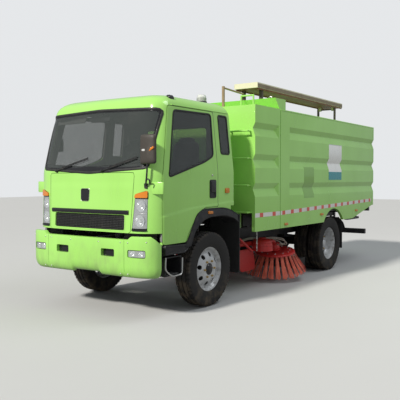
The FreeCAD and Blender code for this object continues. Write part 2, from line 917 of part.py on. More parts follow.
def cab_levels(wall):
    """Level sections from the sill to the crown of the roof, set in by a wall thickness."""
    number = {name: float(getattr(size, name)) for name in SIZES if name.startswith(("cab", "nose", "corner"))}
    levels = [
        cab_level(number["cab_sill_z"] - wall, number["cab_half_width"], number["nose_sill_reach"],
                  number["corner_sill_reach"], number["corner_inset"], number["cab_rear_reach"]),
        cab_level(number["cab_belt_z"], number["cab_half_width"], number["nose_belt_reach"],
                  number["corner_sill_reach"], number["corner_inset"], number["cab_rear_reach"]),
    ]
    steps = int(float(size.roof_steps))
    header = number["cab_header_z"]
    rise = number["cab_crown_z"] - wall - header
    for step in range(steps + 1):
        angle = math.pi / 2 * step / steps
        fall = 1 - math.cos(angle)
        half_drop = number["cab_header_half_width"] - number["cab_crown_half_width"]
        nose_drop = number["nose_header_reach"] - number["nose_crown_reach"]
        rear_drop = number["cab_rear_reach"] - number["cab_rear_crown_reach"]
        levels.append(cab_level(
            header + rise * math.sin(angle),
            number["cab_header_half_width"] - half_drop * fall,
            number["nose_header_reach"] - nose_drop * fall,
            number["corner_header_reach"] - nose_drop * fall,
            number["corner_header_inset"],
            number["cab_rear_reach"] - rear_drop * fall))
    return levels


def cab_edges(level, wall):
    """Plan outline of the cab at one level: bowed nose, rounded corners, flat sides and back."""
    axle = float(front_axle)
    half = level["half"] - wall
    nose = axle - level["nose"] + wall
    bow = float(size.nose_bow)
    shoulder_x = half - level["inset"]
    shoulder_y = nose + bow
    side_y = axle - level["corner"] + wall
    rear = axle + level["rear"] - wall
    turn = float(size.cab_rear_corner)
    z = level["z"]
    bulge = float(size.corner_bulge) / math.sqrt(2)
    mid = ((shoulder_x + half) / 2 + bulge, (shoulder_y + side_y) / 2 - bulge)
    near = turn * (1 - math.sqrt(0.5))

    def arc(a, b, c):
        return Part.Arc(Vec(*a, z), Vec(*b, z), Vec(*c, z)).toShape()

    def line(a, b):
        return Part.makeLine(Vec(*a, z), Vec(*b, z))

    return [
        arc((-shoulder_x, shoulder_y), (0, nose), (shoulder_x, shoulder_y)),
        arc((shoulder_x, shoulder_y), mid, (half, side_y)),
        line((half, side_y), (half, rear - turn)),
        arc((half, rear - turn), (half - near, rear - near), (half - turn, rear)),
        line((half - turn, rear), (turn - half, rear)),
        arc((turn - half, rear), (near - half, rear - near), (-half, rear - turn)),
        line((-half, rear - turn), (-half, side_y)),
        arc((-half, side_y), (-mid[0], mid[1]), (-shoulder_x, shoulder_y)),
    ]


def cab_solid(wall=0.0):
    """The whole cab form, set in by a wall thickness, from below the sill to the crown."""
    rings = [cab_edges(level, wall) for level in cab_levels(wall)]
    faces = [Part.Face(Part.Wire(rings[0])), Part.Face(Part.Wire(rings[-1]))]
    for lower, upper in zip(rings, rings[1:]):
        for low_edge, high_edge in zip(lower, upper):
            if isinstance(low_edge.Curve, Part.Line):
                ends = [edge.valueAt(edge.ParameterRange[side])
                        for edge, side in ((low_edge, 0), (low_edge, 1), (high_edge, 1), (high_edge, 0))]
                faces.append(Part.Face(Part.makePolygon(ends + ends[:1])))
            else:
                faces.append(Part.makeRuledSurface(low_edge, high_edge))
    skin = Part.makeCompound(faces)
    skin.sewShape(0.01)
    solid = Part.makeSolid(skin.Shells[0] if skin.Shells else skin)
    if solid.Volume < 0:
        solid.reverse()
    return solid


def rounded(points, radius):
    """A closed outline through 3-D points whose corners are rounded."""
    count = len(points)
    edges = []
    starts = []
    ends = []
    for index, corner in enumerate(points):
        before = points[index - 1]
        after = points[(index + 1) % count]
        to_before = (before - corner).normalize()
        to_after = (after - corner).normalize()
        half_angle = to_before.getAngle(to_after) / 2
        setback = radius / math.tan(half_angle)
        start = corner + to_before * setback
        end = corner + to_after * setback
        centre = corner + (to_before + to_after).normalize() * (radius / math.sin(half_angle))
        middle = centre + (corner - centre).normalize() * radius
        starts.append(start)
        ends.append(end)
        edges.append(Part.Arc(start, middle, end).toShape())
    outline = []
    for index in range(count):
        outline.append(edges[index])
        outline.append(Part.makeLine(ends[index], starts[(index + 1) % count]))
    return Part.Wire(outline)


def prism_x(points, low, high, radius=0.0, grow=0.0):
    """A prism along X over an outline of (y, z) points, its outline grown or shrunk."""
    return prism([Vec(low, float(y), float(z)) for y, z in points], Vec(high - low, 0, 0), radius, grow)


def prism_y(points, low, high, radius=0.0, grow=0.0):
    """A prism along Y over an outline of (x, z) points, its outline grown or shrunk."""
    return prism([Vec(float(x), low, float(z)) for x, z in points], Vec(0, high - low, 0), radius, grow)


def prism(corners, run, radius, grow):
    """Extrude a closed outline, with its corners rounded and its edge moved outwards by grow."""
    if radius:
        wire = rounded(corners, radius)
    else:
        wire = Part.makePolygon(corners + corners[:1])
    if grow:
        wire = wire.makeOffset2D(grow, 2)
    return Part.Face(wire).extrude(run)


def from_axle(points):
    """Turn (distance behind the front axle, height) pairs into (y, z) places."""
    axle = float(front_axle)
    return [(axle + float(y), float(z)) for y, z in points]


def door_outline():
    """Door edge in side view: sill, hinge edge, sloping pillar, roof edge, lock edge, arch."""
    arch = size.door_arch_top_z
    return from_axle([
        (-size.door_front, size.cab_sill_z), (-size.door_front, size.door_belt_z),
        (-size.door_top_front, size.door_top_z), (size.door_rear, size.door_top_z),
        (size.door_rear, arch), (-100, arch), (-275, arch - 70), (-size.door_foot_rear + 20, arch - 345),
        (-size.door_foot_rear, size.cab_sill_z),
    ])


def door_window_outline():
    """Door glass edge in side view, with its low front corner and raised rear sill."""
    return from_axle([(-860, 1685), (-665, 2500), (135, 2512), (112, 1965), (-90, 1885)])


def quarter_outline():
    """Quarter glass edge in side view."""
    return from_axle([
        (size.quarter_front, size.quarter_bottom_z), (size.quarter_front, size.quarter_top_z),
        (size.quarter_rear, size.quarter_top_z), (size.quarter_rear, size.quarter_bottom_z),
    ])


def back_window_outline():
    """Back window edge, seen along the truck."""
    half = size.back_window_half
    return [(-half, size.back_window_bottom_z), (half, size.back_window_bottom_z),
            (half, size.back_window_top_z), (-half, size.back_window_top_z)]


def screen_outline():
    """Windscreen edge, seen from the front."""
    low = size.screen_bottom_z
    return [(-size.screen_bottom_half, low), (0, low - size.screen_bottom_dip), (size.screen_bottom_half, low),
            (size.screen_top_half, size.screen_top_z), (-size.screen_top_half, size.screen_top_z)]


def flare_outline():
    """Outer edge of the wheel arch in side view, closed below the cab."""
    top = size.flare_top_z
    return from_axle([
        (-560, 700), (-560, 828), (-480, 940), (-300, 1215), (-150, top), (300, top),
        (480, top - 28), (660, top - 100), (660, 700),
    ])


def flare_inner_outline():
    """Inner edge of the wheel arch in side view, closed below the cab."""
    return from_axle([
        (-448, 700), (-448, 828), (-355, 1010), (-210, 1120), (-40, 1166), (330, 1172),
        (560, 1120), (662, 1060), (662, 700),
    ])


def panel_outline():
    """Nose panel edge, seen from the front."""
    return [(-size.panel_bottom_half, size.panel_bottom_z), (size.panel_bottom_half, size.panel_bottom_z),
            (size.panel_top_half, size.panel_top_z), (-size.panel_top_half, size.panel_top_z)]


def lamp_outline():
    """Left headlamp edge, seen from the front."""
    return [(size.lamp_inner_bottom, size.lamp_bottom_z), (size.lamp_outer, size.lamp_bottom_z),
            (size.lamp_outer, size.lamp_top_z + 30), (size.lamp_inner_top, size.lamp_top_z - 15)]


def mirror_shape(shape):
    """Mirror image of a computed shape across the truck's centre plane."""
    return shape.mirror(Vec(0, 0, 0), Vec(1, 0, 0))


def whole(half):
    """A computed left half joined to its own mirror image."""
    return half.fuse(mirror_shape(half)).removeSplitter()


def largest(shape):
    """The biggest solid of a computed shape."""
    return sorted(shape.Solids, key=lambda item: item.Volume)[-1]


def left_half(shape):
    """The part of a computed shape on the truck's own left side."""
    return shape.common(Part.makeBox(3000, 6000, 4000, Vec(0, -5000, -100)))


def make_cab():
    """Cab shell with its doorways, windows, nose opening and arches cut, and what fills them."""
    wall = float(size.cab_wall)
    gap = float(size.door_gap)
    corner = float(size.window_corner)
    wide = float(size.cab_half_width) + 200
    inside = wide / 2
    axle = float(front_axle)
    nose = axle - float(size.nose_sill_reach) - 200
    rear = axle + float(size.cab_rear_reach) + 200
    outer = left_half(cab_solid())
    skin = outer.cut(cab_solid(wall))
    fit = float(size.fit_gap)

    door_body = prism_x(door_outline(), inside, wide)
    doorway = prism_x(door_outline(), inside, wide, 0.0, gap)
    window = prism_x(door_window_outline(), inside, wide, corner)
    quarter = prism_x(quarter_outline(), inside, wide, corner)
    back_window = prism_y(back_window_outline(), axle, rear, corner)
    screen_reach = axle - float(size.screen_depth_reach)
    screen = prism_y(screen_outline(), nose, screen_reach, float(size.screen_corner))
    arch = prism_x(flare_outline(), inside - 100, wide)
    nose_panel = prism_y(panel_outline(), nose, screen_reach)
    nose_gap = prism_y(panel_outline(), nose, screen_reach, 0.0, gap)
    lamp = prism_y(lamp_outline(), nose, screen_reach, 20.0)
    low_front = Part.makeBox(wide * 2, axle - float(size.door_front) - nose - gap, 600,
                             Vec(-wide, nose, float(size.cab_nose_bottom_z) - 600))
    low_rear = Part.makeBox(inside * 2, rear - axle, 800,
                            Vec(-inside, axle, float(size.cab_rear_bottom_z) - 800))
    low_side = Part.makeBox(inside, rear - axle, 800,
                            Vec(inside, axle, float(size.cab_side_bottom_z) - 800))

    shell = skin
    for tool in (doorway, quarter, arch, lamp, back_window, screen, nose_gap, low_front, low_rear, low_side):
        shell = shell.cut(tool)
    for tool in door_hinge_pockets():
        shell = shell.cut(tool)
    ears, eyes = door_hinges()
    shell = largest(shell).fuse([panel_hinge_ears(), corner_vane()] + ears)
    node(shaped(whole(shell)), "cab_shell")

    door = skin.common(door_body)
    door = door.cut(window).cut(prism_x(flare_outline(), inside - 100, wide, 0.0, gap))
    left_door = shaped(largest(door).fuse(eyes).cut(door_hinge_bores()))
    node(left_door, "door_left")
    node(mirrored(left_door), "door_right")

    inset = float(size.glass_inset)
    pane = left_half(cab_solid(inset)).cut(cab_solid(inset + float(size.glass_thick)))
    door_glass = shaped(largest(pane.common(prism_x(door_window_outline(), inside, wide, corner, -fit))))
    node(door_glass, "door_glass_left")
    node(mirrored(door_glass), "door_glass_right")
    quarter_glass = largest(pane.common(prism_x(quarter_outline(), inside, wide, corner, -fit)))
    back_glass = whole(pane.common(prism_y(back_window_outline(), axle, rear, corner, -fit)))
    screen_fit = prism_y(screen_outline(), nose, screen_reach, float(size.screen_corner), -fit)
    screen_glass = whole(pane.common(screen_fit))
    panes = [quarter_glass, mirror_shape(quarter_glass), back_glass, screen_glass]
    node(shaped(Part.makeCompound(panes)), "cab_glass")

    lamp_fit = prism_y(lamp_outline(), nose, screen_reach, 20.0, -fit)
    left_lamp = largest(outer.common(lamp_fit).cut(cab_solid(float(size.lamp_depth))))
    node(shaped(Part.makeCompound([left_lamp, mirror_shape(left_lamp)])), "headlamps")

    thin = outer.cut(cab_solid(float(size.panel_wall)))
    grille_hole = Part.makeBox(float(size.grille_half) * 2, 400,
                               float(size.grille_top_z) - float(size.grille_bottom_z),
                               Vec(-float(size.grille_half), nose, float(size.grille_bottom_z)))
    flap = largest(thin.common(nose_panel).cut(grille_hole))
    node(shaped(whole(panel_with_lug(flap))), "front_panel")
    make_grille(nose, fit)
    make_flares()


def door_hinge_heights():
    """Bottoms of the two door hinge eyes, as plain numbers."""
    return (float(size.door_hinge_low_z), float(size.door_hinge_high_z))


def door_hinges():
    """Cab ears with their pins, and door eyes, of the two hinges of the left door."""
    x = float(size.door_hinge_x)
    y = float(front_axle - size.door_hinge_reach)
    radius = float(size.door_hinge_radius)
    pin = float(size.door_hinge_pin)
    height = float(size.door_hinge_height)
    ear = float(size.door_hinge_ear)
    gap = float(size.ear_gap)
    ears = []
    eyes = []
    for z in door_hinge_heights():
        ears.append(Part.makeCylinder(pin, height + 2 * (gap + ear), Vec(x, y, z - gap - ear)))
        for low in (z - gap - ear, z + height + gap):
            ears.append(Part.makeCylinder(radius, ear, Vec(x, y, low)))
            ears.append(Part.makeBox(45, 50, ear, Vec(x - 45, y - 50, low)))
        eyes.append(Part.makeCylinder(radius, height, Vec(x, y, z)))
        eyes.append(Part.makeBox(16, 60, height, Vec(x - 14, y, z)))
    return ears, eyes


def door_hinge_pockets():
    """Room about the left door's two hinge eyes, open to the doorway."""
    x = float(size.door_hinge_x)
    y = float(front_axle - size.door_hinge_reach)
    gap = float(size.ear_gap)
    height = float(size.door_hinge_height)
    return [Part.makeBox(90, 44, height + 2 * gap, Vec(x - 22, y - 22, z - gap)) for z in door_hinge_heights()]


def door_hinge_bores():
    """Bores of the left door's two hinge eyes."""
    x = float(size.door_hinge_x)
    y = float(front_axle - size.door_hinge_reach)
    bore = float(size.door_hinge_pin) + float(size.pin_gap)
    height = float(size.door_hinge_height)
    return [Part.makeCylinder(bore, height, Vec(x, y, z)) for z in door_hinge_heights()]


def corner_vane():
    """Small air vane standing off the cab's left front corner."""
    axle = float(front_axle)
    outer = float(size.vane_outer_x)
    outline = [(905, axle - 1070), (outer - 70, axle - 1062), (outer - 10, axle - 1040),
               (outer, axle - 1022), (outer - 40, axle - 1026), (outer - 110, axle - 1024), (930, axle - 1020)]
    low = float(size.vane_bottom_z)
    corners = [Vec(px, py, low) for px, py in outline]
    face = Part.Face(Part.makePolygon(corners + corners[:1]))
    return face.extrude(Vec(0, 0, float(size.vane_top_z) - low))


def panel_hinge_place():
    """Middle of the nose panel's left hinge, as plain numbers."""
    return (float(size.panel_hinge_x), float(front_axle - size.panel_hinge_reach), float(size.panel_hinge_z))


def panel_hinge_ears():
    """Two ears and a pin above the nose opening, ready to join to the cab's left half."""
    x, y, z = panel_hinge_place()
    half = float(size.panel_hinge_width) / 2 + float(size.ear_gap)
    ear = 12.0
    pin = Part.makeCylinder(float(size.panel_pin_radius), 2 * (half + ear), Vec(x - half - ear, y, z), Vec(1, 0, 0))
    pieces = []
    for start in (x - half - ear, x + half):
        pieces.append(Part.makeCylinder(ear, ear, Vec(start, y, z), Vec(1, 0, 0)))
        pieces.append(Part.makeBox(ear, 40, 20, Vec(start, y, z)))
    return pin.fuse(pieces)


def panel_with_lug(flap):
    """The nose panel's left half with the bored lug that turns on the hinge pin."""
    x, y, z = panel_hinge_place()
    width = float(size.panel_hinge_width)
    radius = float(size.panel_eye_radius)
    bore = float(size.panel_pin_radius) + float(size.pin_gap)
    eye = Part.makeCylinder(radius, width, Vec(x - width / 2, y, z), Vec(1, 0, 0))
    neck = Part.makeBox(width, 32, 30, Vec(x - width / 2, y, z - 30))
    hole = Part.makeCylinder(bore, width, Vec(x - width / 2, y, z), Vec(1, 0, 0))
    return flap.fuse([eye, neck]).cut(hole)


def make_grille(nose, fit):
    """Upper bar, mesh plate and blank badge plate, following the nose panel's bow."""
    half = float(size.grille_half) - fit
    bar_half = float(size.grille_bar_half)
    bar_low = float(size.grille_bar_bottom_z)
    mesh_low = float(size.grille_bottom_z) + fit
    mesh_high = float(size.grille_top_z) - fit
    thick = float(size.grille_thick)
    recess = 12.0
    mesh = left_half(cab_solid(recess)).cut(cab_solid(recess + thick))
    mesh_box = Part.makeBox(half * 2, 400, mesh_high - mesh_low, Vec(-half, nose, mesh_low))
    proud = left_half(cab_solid(-float(size.grille_bar_thick))).cut(cab_solid(-fit))
    bar_box = Part.makeBox(bar_half * 2, 400, float(size.grille_bar_top_z) - bar_low,
                           Vec(-bar_half, nose, bar_low))
    badge_low = float(size.emblem_bottom_z)
    badge_half = float(size.emblem_half)
    badge = left_half(cab_solid(-8.0)).cut(cab_solid(-fit))
    badge_box = Part.makeBox(badge_half * 2, 400, float(size.emblem_top_z) - badge_low,
                             Vec(-badge_half, nose, badge_low))
    pieces = [whole(mesh.common(mesh_box)), whole(proud.common(bar_box)), whole(badge.common(badge_box))]
    node(shaped(Part.makeCompound(pieces)), "grille")


def make_flares():
    """Black wheel-arch flares in the cab's arches."""
    low = float(size.flare_inner_x)
    high = float(size.flare_outer_x)
    outer = prism_x(flare_outline(), low, high, 0.0, -float(size.fit_gap))
    inner = prism_x(flare_inner_outline(), low - 10, high + 10)
    step_top = float(size.step_top_z + size.fit_gap)
    floor = Part.makeBox(400, 2000, 300, Vec(low - 100, float(front_axle) - 1000, step_top - 300))
    flare = outer.cut(inner).cut(floor)
    best = sorted(flare.Solids, key=lambda item: item.Volume)[-1]
    node(shaped(Part.makeCompound([best, mirror_shape(best)])), "wheel_flares")


def make_cab_floor():
    """Floor with step wells, firewall and the two lugs on which the cab tilts."""
    axle = front_axle
    floor_top = size.floor_z + size.floor_thick
    wide = size.cab_half_width
    wall = size.well_wall
    fire_y = axle - size.firewall_reach
    floor = block((-wide, wide), (fire_y, axle + size.cab_rear_reach), (size.floor_z, floor_top))
    well_front = axle - size.door_front + wall
    well_rear = axle - size.well_rear
    inner = size.well_inner_x
    outer = wide - size.cab_wall - size.door_gap
    tread = size.step_top_z + size.fit_gap
    hole = block((inner, wide), (fire_y, well_rear), (size.floor_z, floor_top))
    sheet = cut(floor, hole, mirrored(hole))
    walls = [
        block((inner - wall, inner), (well_front - wall, well_rear + wall), (tread, size.floor_z)),
        block((inner, outer - size.well_setback), (well_front - wall, well_front), (tread, size.floor_z)),
        block((inner, outer), (well_rear, well_rear + wall), (tread, size.floor_z)),
        block((inner, outer), (well_front, well_rear), (tread, tread + wall)),
    ]
    fire = block((-inner, inner), (fire_y, fire_y + wall), (floor_top, size.panel_top_z))
    y = axle - size.tilt_reach
    radius = size.tilt_lug_radius
    low_x = size.tilt_lug_x - size.tilt_lug_width / 2
    high_x = size.tilt_lug_x + size.tilt_lug_width / 2
    knee_y = y + size.tilt_lug_crank
    knee_z = size.tilt_z + size.tilt_lug_crank
    outline = [(y - radius, size.tilt_z), (y - radius * 0.6, size.tilt_z - radius * 0.8),
               (y + radius * 0.6, size.tilt_z - radius * 0.8), (y + radius, size.tilt_z),
               (knee_y + radius, knee_z - 12), (knee_y + radius, size.floor_z),
               (knee_y - radius, size.floor_z), (knee_y - radius, knee_z + 12)]
    bore = rod(size.tilt_pin_radius + size.pin_gap, size.tilt_lug_width, (low_x, y, size.tilt_z), "x")
    lug = cut(plate("yz", outline, low_x, high_x), bore)
    parts = [sheet, fire, lug, mirrored(lug)]
    for part in walls:
        parts += [part, mirrored(part)]
    whole = fused(*parts)
    trim = shaped(cab_solid(float(size.cab_wall) + float(size.fit_gap)).fuse(
        Part.makeBox(1700, 2200, 700, Vec(-850, float(front_axle) - 1300, 400))))
    inside = doc.addObject("Part::Common", "Trimmed")
    inside.Base = whole
    inside.Tool = trim
    node(inside, "cab_floor")


def make_steps():
    """Cab step below each door, and the lower step hung from the frame."""
    axle = front_axle
    tread = block((size.step_inner_x, size.step_outer_x), (axle - size.step_front, axle - size.step_rear),
                  (size.step_bottom_z, size.step_top_z))
    node(both(tread), "cab_steps")
    front = axle - size.step_front + 20
    rear = front + size.low_step_length
    top = size.low_step_z + size.low_step_height
    wall = 12
    box = block((size.step_inner_x, size.step_outer_x), (front, rear), (size.low_step_z, top))
    hollow = block((size.step_inner_x + wall, size.step_outer_x + 10), (front + wall, rear - wall),
                   (size.low_step_z + wall, top - wall))
    arm = block((size.rail_outer + size.fit_gap, size.step_inner_x + wall), (front + 60, front + 120),
                (size.rail_bottom + 10, size.rail_bottom + 50))
    node(both(fused(cut(box, hollow), arm)), "low_steps")


def make_guards():
    """Splash guards behind the front wheels and about the rear wheels."""
    y = front_axle + size.guard_front
    front = block((size.guard_inner_x, size.guard_outer_x), (y, y + size.guard_thick),
                  (size.guard_bottom_z, size.housing_floor_z))
    stay = block((size.rail_outer + size.fit_gap, size.guard_inner_x), (y, y + size.guard_thick),
                 (size.rail_bottom + 20, size.rail_bottom + 140))
    rear = rear_axle + size.tyre_radius + 60
    inner = size.dual_centre_x - size.dual_spacing / 2 - half_tyre
    flap = block((inner, size.guard_outer_x - 15), (rear, rear + size.rear_guard_thick),
                 (size.guard_bottom_z, size.rail_bottom + 140))
    stay_rear = block((size.rail_outer + size.fit_gap, inner), (rear, rear + size.rear_guard_thick),
                      (size.rail_bottom + 20, size.rail_bottom + 140))
    node(grouped(*[item for part in (fused(front, stay), fused(flap, stay_rear))
                   for item in (part, mirrored(part))]), "splash_guards")


def make_seats():
    """Driver's and passenger's seats on their pedestals."""
    axle = front_axle
    floor_top = size.floor_z + size.floor_thick
    low = size.seat_top_z - size.seat_thick
    front = axle + size.seat_front
    rear = axle + size.seat_rear
    outline = [(front, low), (front, size.seat_top_z), (rear - size.seat_back_thick, size.seat_top_z),
               (rear - 40, size.seat_back_top_z), (rear + 60, size.seat_back_top_z), (rear + 10, low),
               (rear - 60, low), (rear - 60, floor_top + size.fit_gap), (front + 60, floor_top + size.fit_gap),
               (front + 60, low)]
    seat = plate("yz", outline, size.seat_x - size.seat_half, size.seat_x + size.seat_half)
    node(both(seat), "seats")


def make_dashboard():
    """Instrument panel across the cab, and the steering wheel on its column."""
    axle = front_axle
    wide = size.cab_half_width
    fire_y = axle - size.firewall_reach + size.well_wall + size.fit_gap
    top = size.dash_top_z
    low = size.dash_bottom_z
    outline = [(fire_y, low), (fire_y, top - 30), (fire_y + 60, top), (fire_y + size.dash_depth - 40, top - 20),
               (fire_y + size.dash_depth, top - 90), (fire_y + size.dash_depth - 60, low)]
    slab = plate("yz", outline, -wide, wide)
    inside = doc.addObject("Part::Common", "Trimmed")
    inside.Base = slab
    inside.Tool = shaped(cab_solid(float(size.cab_wall) + 15))
    centre = Vec(float(size.seat_x), float(axle - size.wheel_reach), float(size.wheel_z))
    rim = Part.makeTorus(float(size.wheel_radius), float(size.wheel_grip))
    spoke = Part.makeBox(2 * float(size.wheel_radius), 40, 16, Vec(-float(size.wheel_radius), -20, -8))
    column = Part.makeCylinder(float(size.column_radius), float(size.dash_depth), Vec(), Vec(0, 0, -1))
    steering = rim.fuse([spoke, column])
    steering.Placement = FreeCAD.Placement(centre, Turn(Vec(1, 0, 0), -30))
    node(fused(inside, shaped(steering)), "dashboard")


def make_mirrors():
    """Tall mirror head on its arm at the left front corner, and the right door's small mirror."""
    y = front_axle - size.mirror_reach
    head = block((size.mirror_inner, size.mirror_outer), (y - size.mirror_thick / 2, y + size.mirror_thick / 2),
                 (size.mirror_bottom_z, size.mirror_top_z))
    arm = rod(size.mirror_arm_radius, size.mirror_bottom_z - size.mirror_foot_z,
              (size.mirror_arm_x, y, size.mirror_foot_z))
    foot = rod(size.mirror_arm_radius - 1, 130, (size.mirror_arm_x, y, size.mirror_foot_z + 18), "y")
    clear = shaped(left_half(cab_solid(-float(size.fit_gap))))
    node(cut(fused(head, arm, foot), clear), "mirror_left")
    near = front_axle - size.far_mirror_front
    small = block((size.far_mirror_inner, size.far_mirror_outer), (near, near + size.far_mirror_thick),
                  (size.far_mirror_bottom_z, size.far_mirror_top_z))
    middle_x = (size.far_mirror_inner + size.far_mirror_outer) / 2
    stay = shaped(shaft_between((970, near - 130, size.far_mirror_bottom_z + 60),
                                (middle_x, near + 20, size.far_mirror_bottom_z + 70),
                                size.far_mirror_arm_radius))
    again = shaped(left_half(cab_solid(-float(size.fit_gap))))
    node(mirrored(cut(fused(small, stay), again)), "mirror_right")


def make_bumper():
    """Bumper shell with tow openings, fog lamps in their openings, and a raised middle."""
    half = size.bumper_half
    side = front_axle - size.bumper_side_reach
    wall = size.bumper_wall
    nose = front_y
    right = [(half, side), (half, nose + 120), (half - 45, nose + 48), (half - 150, nose + 10), (half - 340, nose)]
    inner = [(half - wall, side), (half - wall, nose + 125), (half - 62, nose + 66),
             (half - 155, nose + 10 + wall), (half - 340, nose + wall)]
    outline = right + [(-x, y) for x, y in reversed(right)] + [(-x, y) for x, y in inner] + list(reversed(inner))
    shell = plate("xy", outline, size.bumper_bottom_z, size.bumper_top_z)
    deep = (nose - 20, nose + 200)
    fog = block((size.fog_inner, size.fog_outer), deep, (size.fog_bottom_z, size.fog_top_z))
    tow = block((size.tow_hole_inner, size.tow_hole_outer), deep, (size.tow_hole_bottom_z, size.tow_hole_top_z))
    notch_half = size.bumper_notch_half
    notch = block((-notch_half, notch_half), deep, (size.bumper_middle_top_z, size.bumper_top_z))
    lift = block((-size.cutout_half, size.cutout_half), deep, (size.bumper_bottom_z, size.cutout_z))
    top = size.bumper_top_z
    slope = plate("yz", [(side - size.bumper_slope_run, top + 1), (side + 5, top + 1),
                         (side + 5, top - size.bumper_slope_drop)], -half - 1, half + 1)
    node(cut(shell, fog, mirrored(fog), tow, mirrored(tow), notch, lift, slope), "bumper")
    gap = size.fit_gap
    lens = block((size.fog_inner + gap, size.fog_outer - gap), (nose + size.fog_setback, nose + 60),
                 (size.fog_bottom_z + gap, size.fog_top_z - gap))
    node(both(lens), "fog_lamps")


def body_y(distance):
    """Place of a body feature measured from the front axle."""
    return front_axle + distance


def groove(centre_z, start, end, slant_front, slant_rear):
    """A pressed V groove in the left side, with a sloping end where asked."""
    thing = doc.addObject("Part::Wedge", "Groove")
    front_slope = size.groove_end * slant_front
    rear_slope = size.groove_end * slant_rear
    bind(thing, "Xmin", start * 1)
    bind(thing, "Xmax", end * 1)
    bind(thing, "X2min", start + front_slope)
    bind(thing, "X2max", end - rear_slope)
    bind(thing, "Zmin", centre_z - size.groove_down)
    bind(thing, "Zmax", centre_z + size.groove_up)
    bind(thing, "Z2min", centre_z - 1)
    bind(thing, "Z2max", centre_z + 1)
    thing.Ymin = 0
    bind(thing, "Ymax", size.groove_depth * 1)
    return put(thing, size.body_half, 0, 0, Turn(Vec(0, 0, 1), 90))


def groove_heights():
    """Centre heights of the three grooves."""
    return (size.groove_top_z, size.groove_middle_z, size.groove_low_z)


def make_fan_housing():
    """Fixed housing behind the cab: grooved sides, walls, roof and floor, on short bearers."""
    front = body_y(size.housing_front)
    rear = body_y(size.housing_rear) - size.body_seam
    half = size.body_half
    inner = half - size.body_wall
    slab = block((inner, half), (front, rear), (size.skirt_z, size.body_top_z))
    cutters = [groove(z, front, body_y(size.housing_groove_end), 0, 1) for z in groove_heights()]
    side = cut(slab, *cutters)
    wall = size.wall_thick
    top = size.body_top_z
    low = size.housing_floor_z
    walls = [
        block((-inner, inner), (front, front + wall), (low, top)),
        block((-inner, inner), (rear - wall, rear), (low, top)),
        block((-inner, inner), (front, rear), (top - size.roof_thick, top)),
        block((-inner, inner), (front, rear), (low, low + wall)),
    ]
    bearer = block((size.rail_outer - size.beam_width, size.rail_outer), (front + 40, rear - 40),
                   (rail_top + size.fit_gap, low))
    node(fused(side, mirrored(side), *walls, bearer, mirrored(bearer)), "fan_housing")


def make_ladder():
    """Rungs standing off the housing's front wall, and the grab rail at its roof edge."""
    front = body_y(size.housing_front)
    offset = size.rung_offset
    parts = []
    count = int(float(size.rung_count))
    for index in range(count):
        z = size.rung_first_z + size.rung_step_z * index
        bar = rod(size.rung_radius, size.rung_half * 2, (size.rung_x - size.rung_half, front - offset, z), "x")
        legs = [rod(size.rung_radius, offset - size.fit_gap, (size.rung_x + reach, front - offset, z), "y")
                for reach in (size.rung_half - size.rung_radius, size.rung_radius - size.rung_half)]
        parts.append(fused(bar, *legs))
    base = size.body_top_z + size.fit_gap
    y = front + 50
    rail = rod(size.grab_radius, size.grab_outer - size.grab_inner, (size.grab_inner, y, size.grab_top_z), "x")
    posts = [rod(size.grab_radius, size.grab_top_z - base + size.grab_radius, (x, y, base))
             for x in (size.grab_inner, size.grab_outer)]
    parts.append(fused(rail, *posts))
    node(grouped(*parts), "ladder")


def make_roof_post():
    """Upright post on the fan housing with a link reaching back under the roof board."""
    y = body_y(size.post_y)
    base = size.body_top_z + size.fit_gap
    post = rod(size.post_radius, size.post_top_z - base, (size.post_x, y, base))
    top = size.post_top_z - size.post_radius
    link = shaped(shaft_between((size.post_x, y, top),
                                (size.post_x, y + size.post_link_length, top - size.post_link_drop),
                                size.link_radius))
    node(fused(post, link), "roof_post")


def hopper_side():
    """Left hopper side with its grooves, wheel arch and rising tail."""
    front = body_y(size.housing_rear)
    rear = rear_y - size.door_thick - size.door_gap
    half = size.body_half
    skirt = size.skirt_z
    outline = [(front, skirt), (body_y(size.skirt_flat_end), skirt), (rear, size.skirt_rear_z),
               (rear, size.body_top_z), (front, size.body_top_z)]
    slab = plate("yz", outline, half - size.body_wall, half * 1)
    arch = rod(size.arch_radius, size.body_wall + 20, (half - size.body_wall - 10, rear_axle, size.arch_z), "x")
    cutters = [groove(z, body_y(size.groove_start), rear, 1, 0) for z in groove_heights()]
    return cut(slab, arch, *cutters)


def make_hopper():
    """Tipping hopper: sides, front wall, roof with its hood, and the deck on its beams."""
    front = body_y(size.housing_rear)
    rear = rear_y - size.door_thick - size.door_gap
    half = size.body_half
    inner = half - size.body_wall - size.fit_gap
    top = size.body_top_z
    wall = size.wall_thick
    beam_top = size.beam_bottom_z + size.beam_depth
    deck_top = beam_top + size.deck_thick
    side = hopper_side()
    edge = half - size.body_wall
    roof = block((-edge, edge), (front, rear), (top - size.roof_thick, top))
    front_wall = block((-edge, edge), (front, front + wall), (deck_top + size.fit_gap, top))
    ears = [hinge_ears(x) for x in (620, -620)]
    node(fused(side, mirrored(side), roof, front_wall, *ears), "hopper_shell")
    hood_rear = body_y(size.hood_rear)
    base = top + size.fit_gap
    outline = [(front, base), (front - size.hood_lean, size.hood_top_z), (hood_rear, size.hood_top_z),
               (hood_rear, base)]
    node(plate("yz", outline, -size.hood_half, size.hood_half), "roof_hood")
    make_deck(front, rear, inner, beam_top, deck_top)


